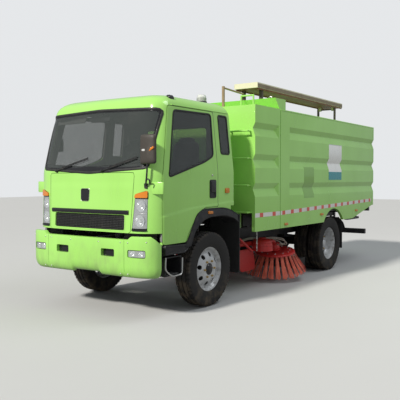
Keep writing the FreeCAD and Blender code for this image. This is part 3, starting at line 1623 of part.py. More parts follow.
def make_deck(front, rear, inner, beam_top, deck_top):
    """Hopper floor on two beams with hinge eyes, crossmembers and the ram's upper lugs."""
    deck = block((-inner, inner), (front, rear), (beam_top, deck_top))
    beam_end = size.tip_y + size.tip_eye_radius
    high_x = size.rail_outer
    low_x = high_x - size.beam_width
    beam = block((low_x, high_x), (front, beam_end), (size.beam_bottom_z, beam_top))
    bore = rod(size.tip_pin_radius + size.pin_gap, size.beam_width, (low_x, size.tip_y, size.tip_z), "x")
    eyed = cut(beam, bore)
    tail_half = size.cross_width / 2
    tail = block((-inner, inner), (rear - size.cross_width, rear), (beam_top - 80, beam_top))
    ribs = []
    for y in (front + 300, rear_axle - 700, rear_axle + 700):
        ribs.append(block((-inner, inner), (y - tail_half, y + tail_half), (beam_top - 60, beam_top)))
    half = size.rod_radius + size.ear_gap * 3
    lug = block((half, half + size.tip_ear),
                (size.ram_eye_y - size.ram_eye_radius, size.ram_eye_y + size.ram_eye_radius),
                (size.ram_eye_z - size.ram_eye_radius, beam_top))
    node(fused(deck, eyed, mirrored(eyed), tail, lug, mirrored(lug), *ribs), "hopper_deck")


def make_ram():
    """Tipping ram: a barrel on the frame's pin and a rod whose eye sits between the deck's lugs."""
    base = (0, size.ram_base_y, size.ram_base_z)
    eye = (0, size.ram_eye_y, size.ram_eye_z)
    run = Vec(0, float(size.ram_eye_y - size.ram_base_y), float(size.ram_eye_z - size.ram_base_z))
    span = run.Length
    along = Vec(run).normalize()
    start = Vec(*[float(value) for value in base])
    width = float(size.ram_width)
    eye_radius = float(size.ram_eye_radius)
    bore = float(size.rod_radius) + float(size.pin_gap)
    barrel = Part.makeCylinder(float(size.barrel_radius), float(size.barrel_length) - eye_radius,
                               start + along * eye_radius, along)
    boss = Part.makeCylinder(eye_radius, width, start - Vec(width / 2, 0, 0), Vec(1, 0, 0))
    neck = Part.makeCylinder(width / 2 - 1, eye_radius * 2, start, along)
    pin_hole = Part.makeCylinder(float(size.ram_pin_radius) + float(size.pin_gap), width,
                                 start - Vec(width / 2, 0, 0), Vec(1, 0, 0))
    hollow = Part.makeCylinder(bore, span, start + along * (eye_radius * 2 + 20), along)
    node(shaped(barrel.fuse([boss, neck]).cut(pin_hole).cut(hollow)), "ram_barrel")
    finish = Vec(*[float(value) for value in eye])
    first = start + along * (eye_radius * 2 + 30)
    bar = Part.makeCylinder(float(size.rod_radius), (finish - first).Length - eye_radius * 0.7, first, along)
    top = Part.makeCylinder(eye_radius, width, finish - Vec(width / 2, 0, 0), Vec(1, 0, 0))
    top_hole = Part.makeCylinder(float(size.ram_pin_radius), width, finish - Vec(width / 2, 0, 0), Vec(1, 0, 0))
    node(shaped(bar.fuse(top).cut(top_hole)), "ram_rod")


def make_rear_door():
    """Rear door over the whole tail, notched to the side grooves, hung from its top edge."""
    half = size.body_half
    low = size.skirt_rear_z
    top = size.body_top_z
    face = rear_y - size.door_thick
    side = [(half, low)]
    for z in reversed(groove_heights()):
        side += [(half, z - size.groove_down), (half - size.groove_depth, z), (half, z + size.groove_up)]
    side.append((half, top))
    outline = side + [(-x, z) for x, z in reversed(side)]
    slab = plate("xz", outline, face, rear_y)
    hinge_y = rear_y - size.rear_hinge_inset
    hinge_z = top + size.rear_hinge_rise
    radius = size.rear_hinge_radius
    width = size.rear_hinge_width
    lugs = []
    for x in (620, -620):
        low_x = x - width / 2
        span = (low_x, low_x + width)
        bar = block(span, (hinge_y, rear_y), (hinge_z - 8, hinge_z + radius))
        eye = rod(radius, width, (low_x, hinge_y, hinge_z), "x")
        drop = block(span, (face + 30, rear_y), (top, hinge_z + radius))
        bore = rod(size.rear_hinge_pin + size.pin_gap, width, (low_x, hinge_y, hinge_z), "x")
        lugs.append(cut(fused(bar, eye, drop), bore))
    node(fused(slab, *lugs), "rear_door")


def hinge_ears(x):
    """Two ears and a pin on the hopper roof that carry one hinge lug of the rear door."""
    hinge_y = rear_y - size.rear_hinge_inset
    hinge_z = size.body_top_z + size.rear_hinge_rise
    radius = size.rear_hinge_radius
    low_x = x - size.rear_hinge_width / 2 - size.ear_gap - size.tip_ear
    length = size.rear_hinge_width + size.ear_gap * 2 + size.tip_ear * 2
    along = (hinge_y - radius, hinge_y + radius * 0.6)
    upright = (size.body_top_z - 10, hinge_z + radius)
    first = block((low_x, low_x + size.tip_ear), along, upright)
    last = block((low_x + length - size.tip_ear, low_x + length), along, upright)
    return fused(first, last, rod(size.rear_hinge_pin, length, (low_x, hinge_y, hinge_z), "x"))


def make_roof_board():
    """Long flat roof board hinged at its rear stand, resting on a front stand."""
    base = size.body_top_z + size.fit_gap
    rail_z = base + size.base_height
    low_x = size.board_inner + 30
    high_x = size.board_outer - 30
    width = size.stand_width
    front = body_y(size.base_front)
    rear = body_y(size.base_rear)
    runners = [block((low_x, low_x + width), (front, rear), (base, rail_z)),
               block((high_x - width, high_x), (front, rear), (base, rail_z))]
    ties = [block((low_x, high_x), (y, y + width), (base, rail_z)) for y in (front, rear - width)]
    hinge_y = body_y(size.board_hinge_y)
    hinge_z = size.board_hinge_z
    rest_top = size.board_bottom_z - size.fit_gap
    rest = [block((x, x + width), (front, front + width), (rail_z, rest_top)) for x in (low_x, high_x - width)]
    middle = (low_x + high_x) / 2
    posts = [block((x, x + 20), (hinge_y - 35, hinge_y + 35), (rail_z, hinge_z + size.board_eye_radius))
             for x in (low_x, high_x - 20)]
    foot = block((low_x, high_x), (hinge_y - 35, hinge_y + 35), (base, rail_z))
    pin = rod(size.board_pin_radius, high_x - low_x, (low_x, hinge_y, hinge_z), "x")
    node(fused(*runners, *ties, *rest, *posts, foot, pin), "board_base")
    board = block((size.board_inner, size.board_outer), (body_y(size.board_front), body_y(size.board_rear)),
                  (size.board_bottom_z, size.board_bottom_z + size.board_thick))
    lug_low = low_x + 20 + size.swing_gap
    lugs = []
    for x in (lug_low, high_x - 20 - size.swing_gap - width):
        eye = rod(size.board_eye_radius, width, (x, hinge_y, hinge_z), "x")
        neck = block((x, x + width), (hinge_y - size.board_eye_radius, hinge_y + size.board_eye_radius),
                     (hinge_z, size.board_bottom_z))
        bore = rod(size.board_pin_radius + size.pin_gap, width, (x, hinge_y, hinge_z), "x")
        lugs.append(cut(fused(eye, neck), bore))
    node(fused(board, *lugs), "roof_board")


def brush_axis():
    """Turn that leans a brush forwards and outwards from upright."""
    tilt = float(size.brush_tilt)
    return Turn(Vec(1, 0.45, 0), tilt)


def make_brush():
    """Left disc brush: a disc with a ring of flat bristle tufts flaring to the ground."""
    radius = float(size.brush_disc_radius)
    thick = float(size.brush_disc_thick)
    bore = float(size.brush_shaft_radius) + float(size.pin_gap)
    disc = Part.makeCylinder(radius, thick, Vec(0, 0, -thick))
    collar = Part.makeCone(radius * 0.9, radius * 0.72, 60, Vec(0, 0, -thick - 60))
    reach = float(size.brush_tip_radius)
    drop = float(size.brush_tip_drop)
    root = radius - 45
    wide = float(size.brush_tuft_width)
    deep = float(size.brush_tuft_thick)
    tufts = []
    count = int(float(size.brush_tufts))
    for index in range(count):
        angle = 360.0 * index / count
        lower = tuft_section(reach, -drop, wide * 1.5, deep)
        upper = tuft_section(root, -thick + 6, wide, deep)
        tuft = Part.makeLoft([upper, lower], True, True)
        tuft.rotate(Vec(0, 0, 0), Vec(0, 0, 1), angle)
        tufts.append(tuft)
    hole = Part.makeCylinder(bore, 400, Vec(0, 0, -200))
    brush = disc.fuse([collar] + tufts).cut(hole).removeSplitter()
    centre = Vec(float(size.brush_x), float(size.brush_y), float(size.brush_z))
    brush.Placement = FreeCAD.Placement(centre, brush_axis())
    left = shaped(brush)
    node(left, "brush_left")
    node(mirrored(left), "brush_right")


def tuft_section(radius, z, wide, deep):
    """Level rectangle across a radius, the section of one bristle tuft."""
    corners = [Vec(radius - deep, -wide / 2, z), Vec(radius, -wide / 2, z),
               Vec(radius, wide / 2, z), Vec(radius - deep, wide / 2, z)]
    return Part.makePolygon(corners + corners[:1])


def make_brush_arm():
    """Left swing arm from its upright pin to the brush motor and shaft."""
    pivot = Vec(float(size.arm_pivot_x), float(size.arm_pivot_y), float(size.arm_z))
    centre = Vec(float(size.brush_x), float(size.brush_y), float(size.brush_z))
    side = float(size.arm_size)
    eye = Part.makeCylinder(float(size.arm_eye_radius), side, pivot - Vec(0, 0, side / 2))
    hole = Part.makeCylinder(float(size.arm_pin_radius) + float(size.pin_gap), side, pivot - Vec(0, 0, side / 2))
    turn = brush_axis()
    up = turn.multVec(Vec(0, 0, 1))
    lift = float(size.swing_gap)
    motor = Part.makeCylinder(float(size.motor_radius), float(size.motor_height), centre + up * lift, up)
    shaft = Part.makeCylinder(float(size.brush_shaft_radius), lift + 60, centre - up * 50, up)
    reach = Vec(centre.x - pivot.x, centre.y - pivot.y, 0)
    length = reach.Length
    beam = Part.makeBox(length, side, side, Vec(0, -side / 2, -side / 2))
    beam.Placement = FreeCAD.Placement(pivot, Turn(Vec(1, 0, 0), reach))
    drop = Part.makeBox(side, side, side, Vec(-side / 2, -side / 2, -side / 2))
    arm = eye.fuse([beam, motor]).cut(hole).fuse(shaft).removeSplitter()
    left = shaped(arm)
    node(left, "brush_arm_left")
    node(mirrored(left), "brush_arm_right")


def make_under_body():
    """Suction nozzle with its duct, fuel tank, underrun bar, rear lamps and hanging chains."""
    half = size.nozzle_half
    front = size.nozzle_front_y
    low = size.nozzle_bottom_z
    top = low + size.nozzle_height
    mouth = block((-half, half), (front, front + size.nozzle_length), (low, top))
    hollow = block((-half + 20, half - 20), (front + 20, front + size.nozzle_length - 20), (low, top - 20))
    duct_y = front + size.nozzle_length / 2
    roof_gap = size.beam_bottom_z + size.beam_depth - 70
    duct = rod(size.duct_radius, roof_gap - top + 20, (size.duct_x, duct_y, top - 20))
    bracket = block((size.duct_x, rail_inner), (duct_y - 30, duct_y + 30), (size.rail_bottom + 60, rail_top - 60))
    node(fused(cut(mouth, hollow), duct, bracket), "suction_nozzle")
    tank_top = size.tank_bottom_z + size.tank_height
    tank = block((-size.tank_inner - size.tank_depth, -size.tank_inner),
                 (size.tank_front_y, size.tank_front_y + size.tank_length), (size.tank_bottom_z, tank_top))
    strap = block((-size.tank_inner, -size.rail_outer - size.fit_gap),
                  (size.tank_front_y + 60, size.tank_front_y + 120), (size.rail_bottom + 20, rail_top - 20))
    node(fused(tank, strap), "fuel_tank")
    y = size.underrun_y
    bar = block((-size.underrun_half, size.underrun_half), (y, y + size.underrun_thick),
                (size.underrun_z, size.underrun_z + size.underrun_depth))
    post_x = (size.rail_outer - size.rail_flange, size.rail_outer)
    drop = block(post_x, (size.rail_rear_y - 80, size.rail_rear_y), (size.underrun_z, size.rail_bottom))
    run = block(post_x, (size.rail_rear_y, y), (size.underrun_z, size.underrun_z + size.underrun_depth))
    node(fused(bar, drop, mirrored(drop), run, mirrored(run)), "underrun_bar")
    rear = rear_y - size.door_thick - size.door_gap
    lamp_top = size.beam_bottom_z + size.beam_depth
    lamp = block((size.rear_lamp_inner, size.rear_lamp_outer), (rear + size.fit_gap, rear + 35),
                 (lamp_top - 80, lamp_top - 80 + size.rear_lamp_height))
    node(both(lamp), "rear_lamps")


def chain_link(centre, upright):
    """A flat ring link with square wire."""
    pitch = float(size.chain_pitch)
    wire = float(size.chain_wire)
    wide = float(size.chain_width)
    long = pitch + 2 * wire
    outer = Part.makeBox(wire, wide, long, Vec(-wire / 2, -wide / 2, -long / 2))
    inner = Part.makeBox(wire * 2, wide - 2 * wire, long - 2 * wire,
                         Vec(-wire, wire - wide / 2, wire - long / 2))
    link = outer.cut(inner)
    if upright:
        link.rotate(Vec(0, 0, 0), Vec(0, 0, 1), 90)
    link.translate(centre)
    return link


def make_chains():
    """Hanging stay chain under each front corner of the fan housing."""
    pitch = float(size.chain_pitch)
    wire = float(size.chain_wire)
    x = float(size.body_half - size.body_wall / 2)
    y = float(body_y(size.housing_front)) + 100
    top = float(size.skirt_z) - float(size.fit_gap)
    stub = Part.makeBox(20, 20, 12, Vec(x - 10, y - 10, top - 12))
    solids = [stub]
    for index in range(int(float(size.chain_links))):
        z = top - 12 - float(size.fit_gap) - pitch / 2 - wire - index * pitch
        solids.append(chain_link(Vec(x, y, z), index % 2 == 1))
    left = Part.makeCompound(solids)
    node(shaped(Part.makeCompound([left, mirror_shape(left)])), "chains")


def check_and_write():
    """Stop on any failed object or bad shape, then write each sub-part to its own file."""
    doc.recompute()
    for thing in doc.Objects:
        if "Invalid" in thing.State or "Error" in thing.State:
            raise RuntimeError("failed object: %s %s" % (thing.Label, thing.State))
    os.makedirs("parts", exist_ok=True)
    for thing in nodes:
        shape = thing.Shape
        if shape.isNull() or not shape.isValid() or not shape.Solids:
            raise RuntimeError("bad shape: " + thing.Label)
        shape.exportStep("parts/%s.step" % thing.Label)
        box = shape.BoundBox
        print("%-18s solids %2d  volume %9.4f m3  x %6.0f %6.0f  y %6.0f %6.0f  z %5.0f %5.0f" % (
            thing.Label, len(shape.Solids), shape.Volume / 1e9, box.XMin, box.XMax,
            box.YMin, box.YMax, box.ZMin, box.ZMax))


make_front_wheel()
make_rear_wheels()
make_front_axle()
make_knuckle()
make_rear_axle()
make_engines()
make_frame()
make_springs()
make_cab()
make_cab_floor()
make_steps()
make_guards()
make_seats()
make_dashboard()
make_mirrors()
make_bumper()
make_fan_housing()
make_ladder()
make_roof_post()
make_hopper()
make_ram()
make_rear_door()
make_roof_board()
make_brush()
make_brush_arm()
make_under_body()
make_chains()
check_and_write()
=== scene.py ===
"""Dresses the packed street sweeper truck: finishes for its solids, and the fine pieces over them."""

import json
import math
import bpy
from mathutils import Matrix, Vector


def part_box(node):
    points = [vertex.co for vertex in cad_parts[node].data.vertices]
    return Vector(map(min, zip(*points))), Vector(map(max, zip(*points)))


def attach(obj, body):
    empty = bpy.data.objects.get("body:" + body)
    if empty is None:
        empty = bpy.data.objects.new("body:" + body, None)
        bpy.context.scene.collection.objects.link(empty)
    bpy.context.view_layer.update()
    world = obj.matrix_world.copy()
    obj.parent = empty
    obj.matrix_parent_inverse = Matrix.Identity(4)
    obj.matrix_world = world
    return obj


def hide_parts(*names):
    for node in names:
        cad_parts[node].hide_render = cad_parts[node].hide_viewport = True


bl_info = {
    "name": "Street sweeper truck",
    "version": (1, 0, 0),
    "blender": (4, 5, 0),
    "location": "3D View > Sidebar > Sweeper",
    "description": "Finishes, cab skin, glass, wheels, brushes and trim for a packed sweeper truck",
    "category": "Object",
}

import bmesh
import bpy
import numpy as np

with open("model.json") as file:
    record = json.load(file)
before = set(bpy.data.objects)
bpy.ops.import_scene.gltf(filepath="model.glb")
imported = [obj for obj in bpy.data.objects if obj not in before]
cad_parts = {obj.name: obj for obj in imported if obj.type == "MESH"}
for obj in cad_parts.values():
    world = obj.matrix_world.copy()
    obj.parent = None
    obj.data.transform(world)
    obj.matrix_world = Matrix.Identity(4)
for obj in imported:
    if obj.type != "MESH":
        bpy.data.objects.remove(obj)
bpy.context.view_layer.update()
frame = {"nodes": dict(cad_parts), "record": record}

FRONT_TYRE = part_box("tyre_front_left")
REAR_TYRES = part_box("tyres_rear_left")
AXLE = (FRONT_TYRE[0].y + FRONT_TYRE[1].y) / 2
REAR_AXLE = (REAR_TYRES[0].y + REAR_TYRES[1].y) / 2
AXLE_Z = (FRONT_TYRE[0].z + FRONT_TYRE[1].z) / 2
TYRE_RADIUS = (FRONT_TYRE[1].z - FRONT_TYRE[0].z) / 2
BODY_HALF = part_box("fan_housing")[1].x
BODY_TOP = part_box("fan_housing")[1].z
NOSE_BOW = 0.025
DOOR_GAP = 0.008
QUARTER_CORNER = 0.035
SIDES = ("left", "right")
THROUGH_SIDE = ("yz", 0.8, 1.3)
THROUGH_NOSE = ("xz", AXLE - 1.4, AXLE - 1.02)


# ---- surfaces worked out with numpy

def unit(vectors):
    """Each vector divided by its own length."""
    vectors = np.asarray(vectors, float)
    return vectors / np.maximum(np.linalg.norm(vectors, axis=-1, keepdims=True), 1e-12)


def together(*values):
    """The values as float arrays of one shape."""
    return [np.asarray(value, float) for value in np.broadcast_arrays(*values)]


def eased_step(value):
    """0 below 0, 1 above 1, and between them three times the square less twice the cube."""
    value = np.clip(value, 0.0, 1.0)
    return value * value * (3 - 2 * value)


def turning_left(outline):
    """The outline, reversed where its signed area is negative."""
    outline = np.asarray(outline, float)
    after = np.roll(outline, -1, 0)
    area = (outline[:, 0] * after[:, 1] - after[:, 0] * outline[:, 1]).sum()
    return outline if area > 0 else outline[::-1]


def eased(points, radius, steps=6, closed=True):
    """Each corner becomes a parabola between two points, one radius away along its two runs."""
    points = np.asarray(points, float)
    before = np.roll(points, 1, 0) - points
    after = np.roll(points, -1, 0) - points
    reach = np.minimum(radius, 0.45 * np.minimum(np.linalg.norm(before, axis=1), np.linalg.norm(after, axis=1)))
    start = points + unit(before) * reach[:, None]
    end = points + unit(after) * reach[:, None]
    t = np.linspace(0, 1, steps)[None, :, None]
    curve = (1 - t) ** 2 * start[:, None] + 2 * t * (1 - t) * points[:, None] + t * t * end[:, None]
    if closed:
        return curve.reshape(-1, points.shape[1])
    return np.concatenate([points[:1], curve[1:-1].reshape(-1, points.shape[1]), points[-1:]])


def spaced(points, count, closed=True):
    """The same line through evenly spaced points, by its running length."""
    points = np.asarray(points, float)
    if closed:
        points = np.concatenate([points, points[:1]])
    run = np.concatenate([[0], np.cumsum(np.linalg.norm(np.diff(points, axis=0), axis=1))])
    wanted = np.linspace(0, run[-1], count + 1)[:-1] if closed else np.linspace(0, run[-1], count)
    return np.stack([np.interp(wanted, run, column) for column in points.T], 1)


def inset_outline(outline, depth):
    """Each corner moved inwards so that both of its edges move in by the depth."""
    before = unit(outline - np.roll(outline, 1, 0))
    after = unit(np.roll(outline, -1, 0) - outline)
    inward_before = np.stack([-before[:, 1], before[:, 0]], 1)
    inward_after = np.stack([-after[:, 1], after[:, 0]], 1)
    middle = unit(inward_before + inward_after)
    stretch = np.clip((middle * inward_after).sum(1), 0.5, 1.0)
    return outline + middle * (depth / stretch)[:, None]


def carried(profile, path, outward, closed=False):
    """A profile of (across, outward) pairs carried along a path; across is the run crossed with outward."""
    path = np.asarray(path, float)
    outward = np.broadcast_to(np.asarray(outward, float), path.shape)
    run = unit(np.roll(path, -1, 0) - np.roll(path, 1, 0) if closed else np.gradient(path, axis=0))
    across = unit(np.cross(run, outward))
    square = np.cross(across, run)
    profile = np.asarray(profile, float)
    return path[:, None] + across[:, None] * profile[None, :, :1] + square[:, None] * profile[None, :, 1:]


def circle(radius, count=10):
    """Points round a circle: radius times the cosine and sine of even angles."""
    angle = np.linspace(0, 2 * math.pi, count, endpoint=False)
    return np.stack([radius * np.cos(angle), radius * np.sin(angle)], 1)


def mm(*points):
    """Points in millimetres as an array in metres."""
    return np.array(points) / 1000


def corners(left, low, right, high):
    """The four corners of an upright rectangle."""
    return [(left, low), (right, low), (right, high), (left, high)]


def rounded(outline, radius, count=96):
    """The outline with eased corners, at even spacing."""
    return spaced(eased(turning_left(outline), radius, 8), count)


def sill_strip(half, rise, sunk=0.006):
    """Profile of a rubber strip: flat underneath, crowned on top."""
    angle = np.linspace(0, math.pi, 7)
    crown = np.stack([np.cos(angle) * half, np.sin(angle) ** 0.7 * rise], 1)
    return np.concatenate([[(half, -sunk)], crown, [(-half, -sunk)]])


def flat_map(plane):
    """Place of (u, v, h) on a plane: yz at x = h, xz at y = h, or xy at z = h."""
    order = {"yz": (2, 0, 1), "xz": (0, 2, 1), "xy": (0, 1, 2)}[plane]
    return lambda *uvh: np.stack([np.broadcast_arrays(*uvh)[index] for index in order], -1)


class Form:
    """Points and faces of one piece, gathered from surfaces given as grids of points."""

    def __init__(self):
        self.points = []
        self.faces = []
        self.size = 0

    def add(self, points, blocks):
        """Take a set of points and blocks of faces that count from its first point."""
        points = np.asarray(points, float).reshape(-1, 3)
        self.points.append(points)
        self.faces += [np.asarray(block) + self.size for block in blocks]
        self.size += len(points)
        return self

    def grid(self, points, around=False, along=False, ends=False):
        """Quads over (rows, columns, 3) points, or over several such grids stacked in front."""
        points = np.asarray(points, float)
        rows, columns = points.shape[-3:-1]
        copies = int(np.prod(points.shape[:-3], dtype=int))
        row = np.arange(rows if along else rows - 1)[:, None]
        column = np.arange(columns if around else columns - 1)[None, :]
        next_row, next_column = (row + 1) % rows, (column + 1) % columns
        quads = np.stack(np.broadcast_arrays(row * columns + column, row * columns + next_column,
            next_row * columns + next_column, next_row * columns + column), -1).reshape(-1, 4)
        first = (np.arange(copies) * rows * columns)[:, None, None]
        blocks = [(quads[None] + first).reshape(-1, 4)]
        if ends:
            ring = np.arange(columns)
            blocks.append((ring[::-1][None, None] + first).reshape(-1, columns))
            blocks.append(((ring + (rows - 1) * columns)[None, None] + first).reshape(-1, columns))
        return self.add(points, blocks)

    def bar(self, points):
        """Closed rings in a row, with both ends shut."""
        return self.grid(points, around=True, ends=True)

    def ring(self, points):
        """Closed rings that run round to the first again."""
        return self.grid(points, around=True, along=True)

    def turn(self, profile, centre, axis, count=48, closed=False):
        """A profile of (radius, distance along the axis) pairs turned about an axis through the centre."""
        axis = unit(axis)
        aside = unit(np.cross(axis, (0.0, 0.0, 1.0) if abs(axis[2]) < 0.9 else (0.0, 1.0, 0.0)))
        angle = np.linspace(0, 2 * math.pi, count, endpoint=False)[:, None]
        spoke = np.cos(angle) * aside + np.sin(angle) * np.cross(axis, aside)
        profile = np.asarray(profile, float)
        points = np.asarray(centre, float) + spoke[:, None] * profile[None, :, :1] + axis * profile[None, :, 1:]
        return self.grid(points, around=closed, along=True)

    def slab(self, outline, place, rings):
        """A closed plate: the outline set in and lifted by each ring's (inset, height)."""
        outline = turning_left(outline)
        return self.bar(np.stack([place(*inset_outline(outline, inset).T, height) for inset, height in rings]))

    def plate(self, outline, radius, count, place, rings):
        """A slab whose outline is rounded first."""
        return self.slab(rounded(outline, radius, count), place, rings)

    def tube(self, path, radius, count=10):
        """A round tube whose circle is carried along the path, its ends closed."""
        path = np.asarray(path, float)
        run = unit(np.gradient(path, axis=0))
        steady = np.eye(3)[np.argmin(np.abs(run).max(0))]
        return self.bar(carried(circle(radius, count), path, steady))

    def box(self, low, high, edge=0.004):
        """A block from its low to its high corner with every edge and corner eased."""
        low, high = np.asarray(low, float), np.asarray(high, float)
        soft = eased(corners(low[0], low[1], high[0], high[1]), edge * 1.5, 3)
        rings = [(edge, low[2]), (edge * 0.3, low[2] + edge * 0.3), (0, low[2] + edge), (0, high[2] - edge),
                 (edge * 0.3, high[2] - edge * 0.3), (edge, high[2])]
        return self.slab(soft, flat_map("xy"), rings)

    def both_sides(self):
        """Add the mirror image of everything across the truck's centre plane."""
        points = np.concatenate(self.points) * (-1, 1, 1)
        return self.add(points, [block[:, ::-1] for block in list(self.faces)])

    def mirrored(self):
        """Turn the whole form into its mirror image."""
        self.points = [points * (-1, 1, 1) for points in self.points]
        self.faces = [block[:, ::-1] for block in self.faces]
        return self

    def mesh(self, name, turn_out=True):
        """The mesh of this form, its doubles merged and its closed shells facing outwards."""
        mesh = bpy.data.meshes.new(name)
        faces = [face for block in self.faces for face in block.tolist()]
        mesh.from_pydata(np.concatenate(self.points).tolist(), [], faces)
        tidy = bmesh.new()
        tidy.from_mesh(mesh)
        bmesh.ops.remove_doubles(tidy, verts=tidy.verts, dist=1e-5)
        if turn_out:
            bmesh.ops.recalc_face_normals(tidy, faces=tidy.faces)
        tidy.to_mesh(mesh)
        tidy.free()
        return mesh


def sided(side, *forms):
    """The forms as given on the left side, or turned into their mirror images for the right."""
    return [form.mirrored() for form in forms] if side == "right" else forms


def placed(name, data):
    """A new object in the scene."""
    thing = bpy.data.objects.new(name, data)
    bpy.context.scene.collection.objects.link(thing)
    return thing


def settled(thing):
    """Replace an object's mesh by the one its modifiers give, and drop the modifiers."""
    graph = bpy.context.evaluated_depsgraph_get()
    old, thing.data = thing.data, bpy.data.meshes.new_from_object(thing.evaluated_get(graph))
    thing.modifiers.clear()
    bpy.data.meshes.remove(old)


def modified(thing, kind, **values):
    """Add a modifier with its settings."""
    change = thing.modifiers.new(kind.lower(), kind)
    for name, value in values.items():
        setattr(change, name, value)


def piece(name, form, key, body, replaces=(), wall=0.0, cuts=(), keeps=(), bevel=0.0, crease=36.0):
    """One finished object: walls, cuts and bevels settled, edges sharper than the crease kept sharp."""
    thing = placed(name, form.mesh(name, turn_out=not wall))
    if wall:
        modified(thing, "SOLIDIFY", thickness=wall, offset=-1.0, use_rim=True)
    cutters = []
    for tool, operation in [(keep, "INTERSECT") for keep in keeps] + [(cut, "DIFFERENCE") for cut in cuts]:
        cutters.append(placed("cutter", tool.mesh("cutter")))
        modified(thing, "BOOLEAN", operation=operation, solver="EXACT", object=cutters[-1])
    if bevel:
        modified(thing, "BEVEL", width=bevel, segments=2, limit_method="ANGLE", angle_limit=math.radians(40))
    if thing.modifiers:
        settled(thing)
    for cutter in cutters:
        bpy.data.objects.remove(cutter)
    if not thing.data.polygons:
        raise RuntimeError(f"{name} came out empty")
    thing.data.shade_smooth()
    thing.data.set_sharp_from_angle(angle=math.radians(crease))
    thing.data.materials.clear()
    thing.data.materials.append(finish(key))
    if replaces:
        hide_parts(*replaces)
    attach(thing, body)
    return thing


# ---- the cab's form

def cab_levels():
    """Level sizes of the cab from sill to crown, resampled along the slope and averaged over 60 mm.

    The columns are height, half width, nose, corner and rear reach, and corner inset. Above the
    header they follow a quarter ellipse.
    """
    angle = np.linspace(0, math.pi / 2, 12)[1:]
    rise, fall = np.sin(angle), 1 - np.cos(angle)
    roof = np.stack([2.51 + 0.19 * rise, 0.948 - 0.208 * fall, 0.955 - 0.265 * fall, 0.75 - 0.265 * fall,
                     0.63 - 0.13 * fall, 0.15 + 0 * fall], 1)
    knots = np.concatenate([[(0.885, 1.03, 1.19, 0.93, 0.63, 0.27), (1.76, 1.03, 1.15, 0.93, 0.63, 0.27),
                             (2.51, 0.948, 0.955, 0.75, 0.63, 0.15)], roof])
    run = np.concatenate([[0], np.cumsum(np.linalg.norm(np.diff(knots[:, :2], axis=0), axis=1))])
    wanted = np.linspace(0, run[-1], 420)
    rows = np.stack([np.interp(wanted, run, column) for column in knots.T], 1)
    reach = int(round(0.03 / (run[-1] / 419)))
    low = rows[0] + (rows[0] - rows[1]) * np.arange(reach, 0, -1)[:, None]
    high = rows[-1] + (rows[-1] - rows[-2]) * np.arange(1, reach + 1)[:, None]
    padded = np.concatenate([low, rows, high])
    sums = np.cumsum(np.concatenate([np.zeros((1, 6)), padded]), 0)
    return (sums[2 * reach + 1:] - sums[:-2 * reach - 1]) / (2 * reach + 1)


CAB_LEVELS = cab_levels()
FRONT_STEPS, CORNER_STEPS, SIDE_STEPS = 22, 14, 20


def level_at(z):
    """Level sizes at each height, read off the table by height."""
    z = np.asarray(z, float)
    return np.stack([np.interp(z, CAB_LEVELS[:, 0], column) for column in CAB_LEVELS.T], -1)


def half_outline(level):
    """Left half of the cab's plan outline at each level, from the nose's middle to the back's middle.

    The nose is a parabola of small bow, the corner a cubic curve that leaves it and meets the flat
    side without a kink, and the rear corner a quarter circle.
    """
    half, nose, corner, rear, inset = (level[..., index, None] for index in range(1, 6))
    shoulder = half - inset
    tip = AXLE - nose
    t = np.linspace(0, 1, FRONT_STEPS)[:-1]
    front = (shoulder * t, tip + NOSE_BOW * t * t)
    start = (shoulder, tip + NOSE_BOW)
    end = (half, AXLE - corner)
    lead = 0.46 * inset
    drop = 0.5 * (end[1] - start[1])
    second = (start[0] + lead, start[1] + lead * 2 * NOSE_BOW / shoulder)
    third = (end[0], end[1] - drop)
    s = np.linspace(0, 1, CORNER_STEPS)[:-1]
    bend = [(1 - s) ** 3 * a + 3 * s * (1 - s) ** 2 * b + 3 * s * s * (1 - s) * c + s ** 3 * d
            for a, b, c, d in zip(start, second, third, end)]
    turn = 0.06
    r = np.linspace(0, 1, SIDE_STEPS)[:-1]
    back = AXLE + rear
    side = (half + 0 * r, end[1] + (back - turn - end[1]) * r)
    q = np.linspace(0, math.pi / 2, 6)[:-1]
    quarter = (half - turn + turn * np.cos(q), back - turn + turn * np.sin(q))
    e = np.linspace(1, 0, 8)
    rear_wall = ((half - turn) * e, back + 0 * e)
    parts = (front, bend, side, quarter, rear_wall)
    return np.stack([np.concatenate([part[axis] + 0 * half for part in parts], -1) for axis in (0, 1)], -1)


def pressed(points):
    """The skin's pressings: the side stands 7 mm out below its rising line, the nose 5 mm below its own."""
    x, y, z = points[..., 0], points[..., 1], points[..., 2]
    line = np.interp(y - AXLE, (-1.15, -0.43, 0.595), (1.192, 1.295, 1.359))
    flank = eased_step((y - AXLE + 1.02) / 0.12) * eased_step((0.62 - (y - AXLE)) / 0.04)
    side = 0.007 * eased_step((line - z) / 0.014 + 0.5) * flank
    brow = 0.005 * eased_step((1.602 - z) / 0.012 + 0.5) * eased_step((0.74 - np.abs(x)) / 0.06)
    brow = brow * eased_step((-0.9 - (y - AXLE)) / 0.05)
    return np.stack([x + np.sign(x) * side, y - brow, z], -1)


def row_by_row(wanted, across, values):
    """Straight-line reading where each wanted place has its own row of samples."""
    index = np.clip((across < wanted[..., None]).sum(-1), 1, across.shape[-1] - 1)
    pick = [np.take_along_axis(array, step[..., None], -1)[..., 0]
            for array in (across, values) for step in (index - 1, index)]
    share = np.clip((wanted - pick[0]) / np.maximum(pick[1] - pick[0], 1e-9), 0, 1)
    return pick[2] + (pick[3] - pick[2]) * share


def on_front(x, z, h):
    """Place on the cab's front at (x, z), standing h proud of it."""
    x, z, h = together(x, z, h)
    outline = half_outline(level_at(z))[..., :FRONT_STEPS + CORNER_STEPS - 1, :]
    y = row_by_row(np.abs(x), outline[..., 0], outline[..., 1])
    skin = pressed(np.stack([x, y, z], -1))
    return skin - np.stack([0 * h, h, 0 * h], -1)


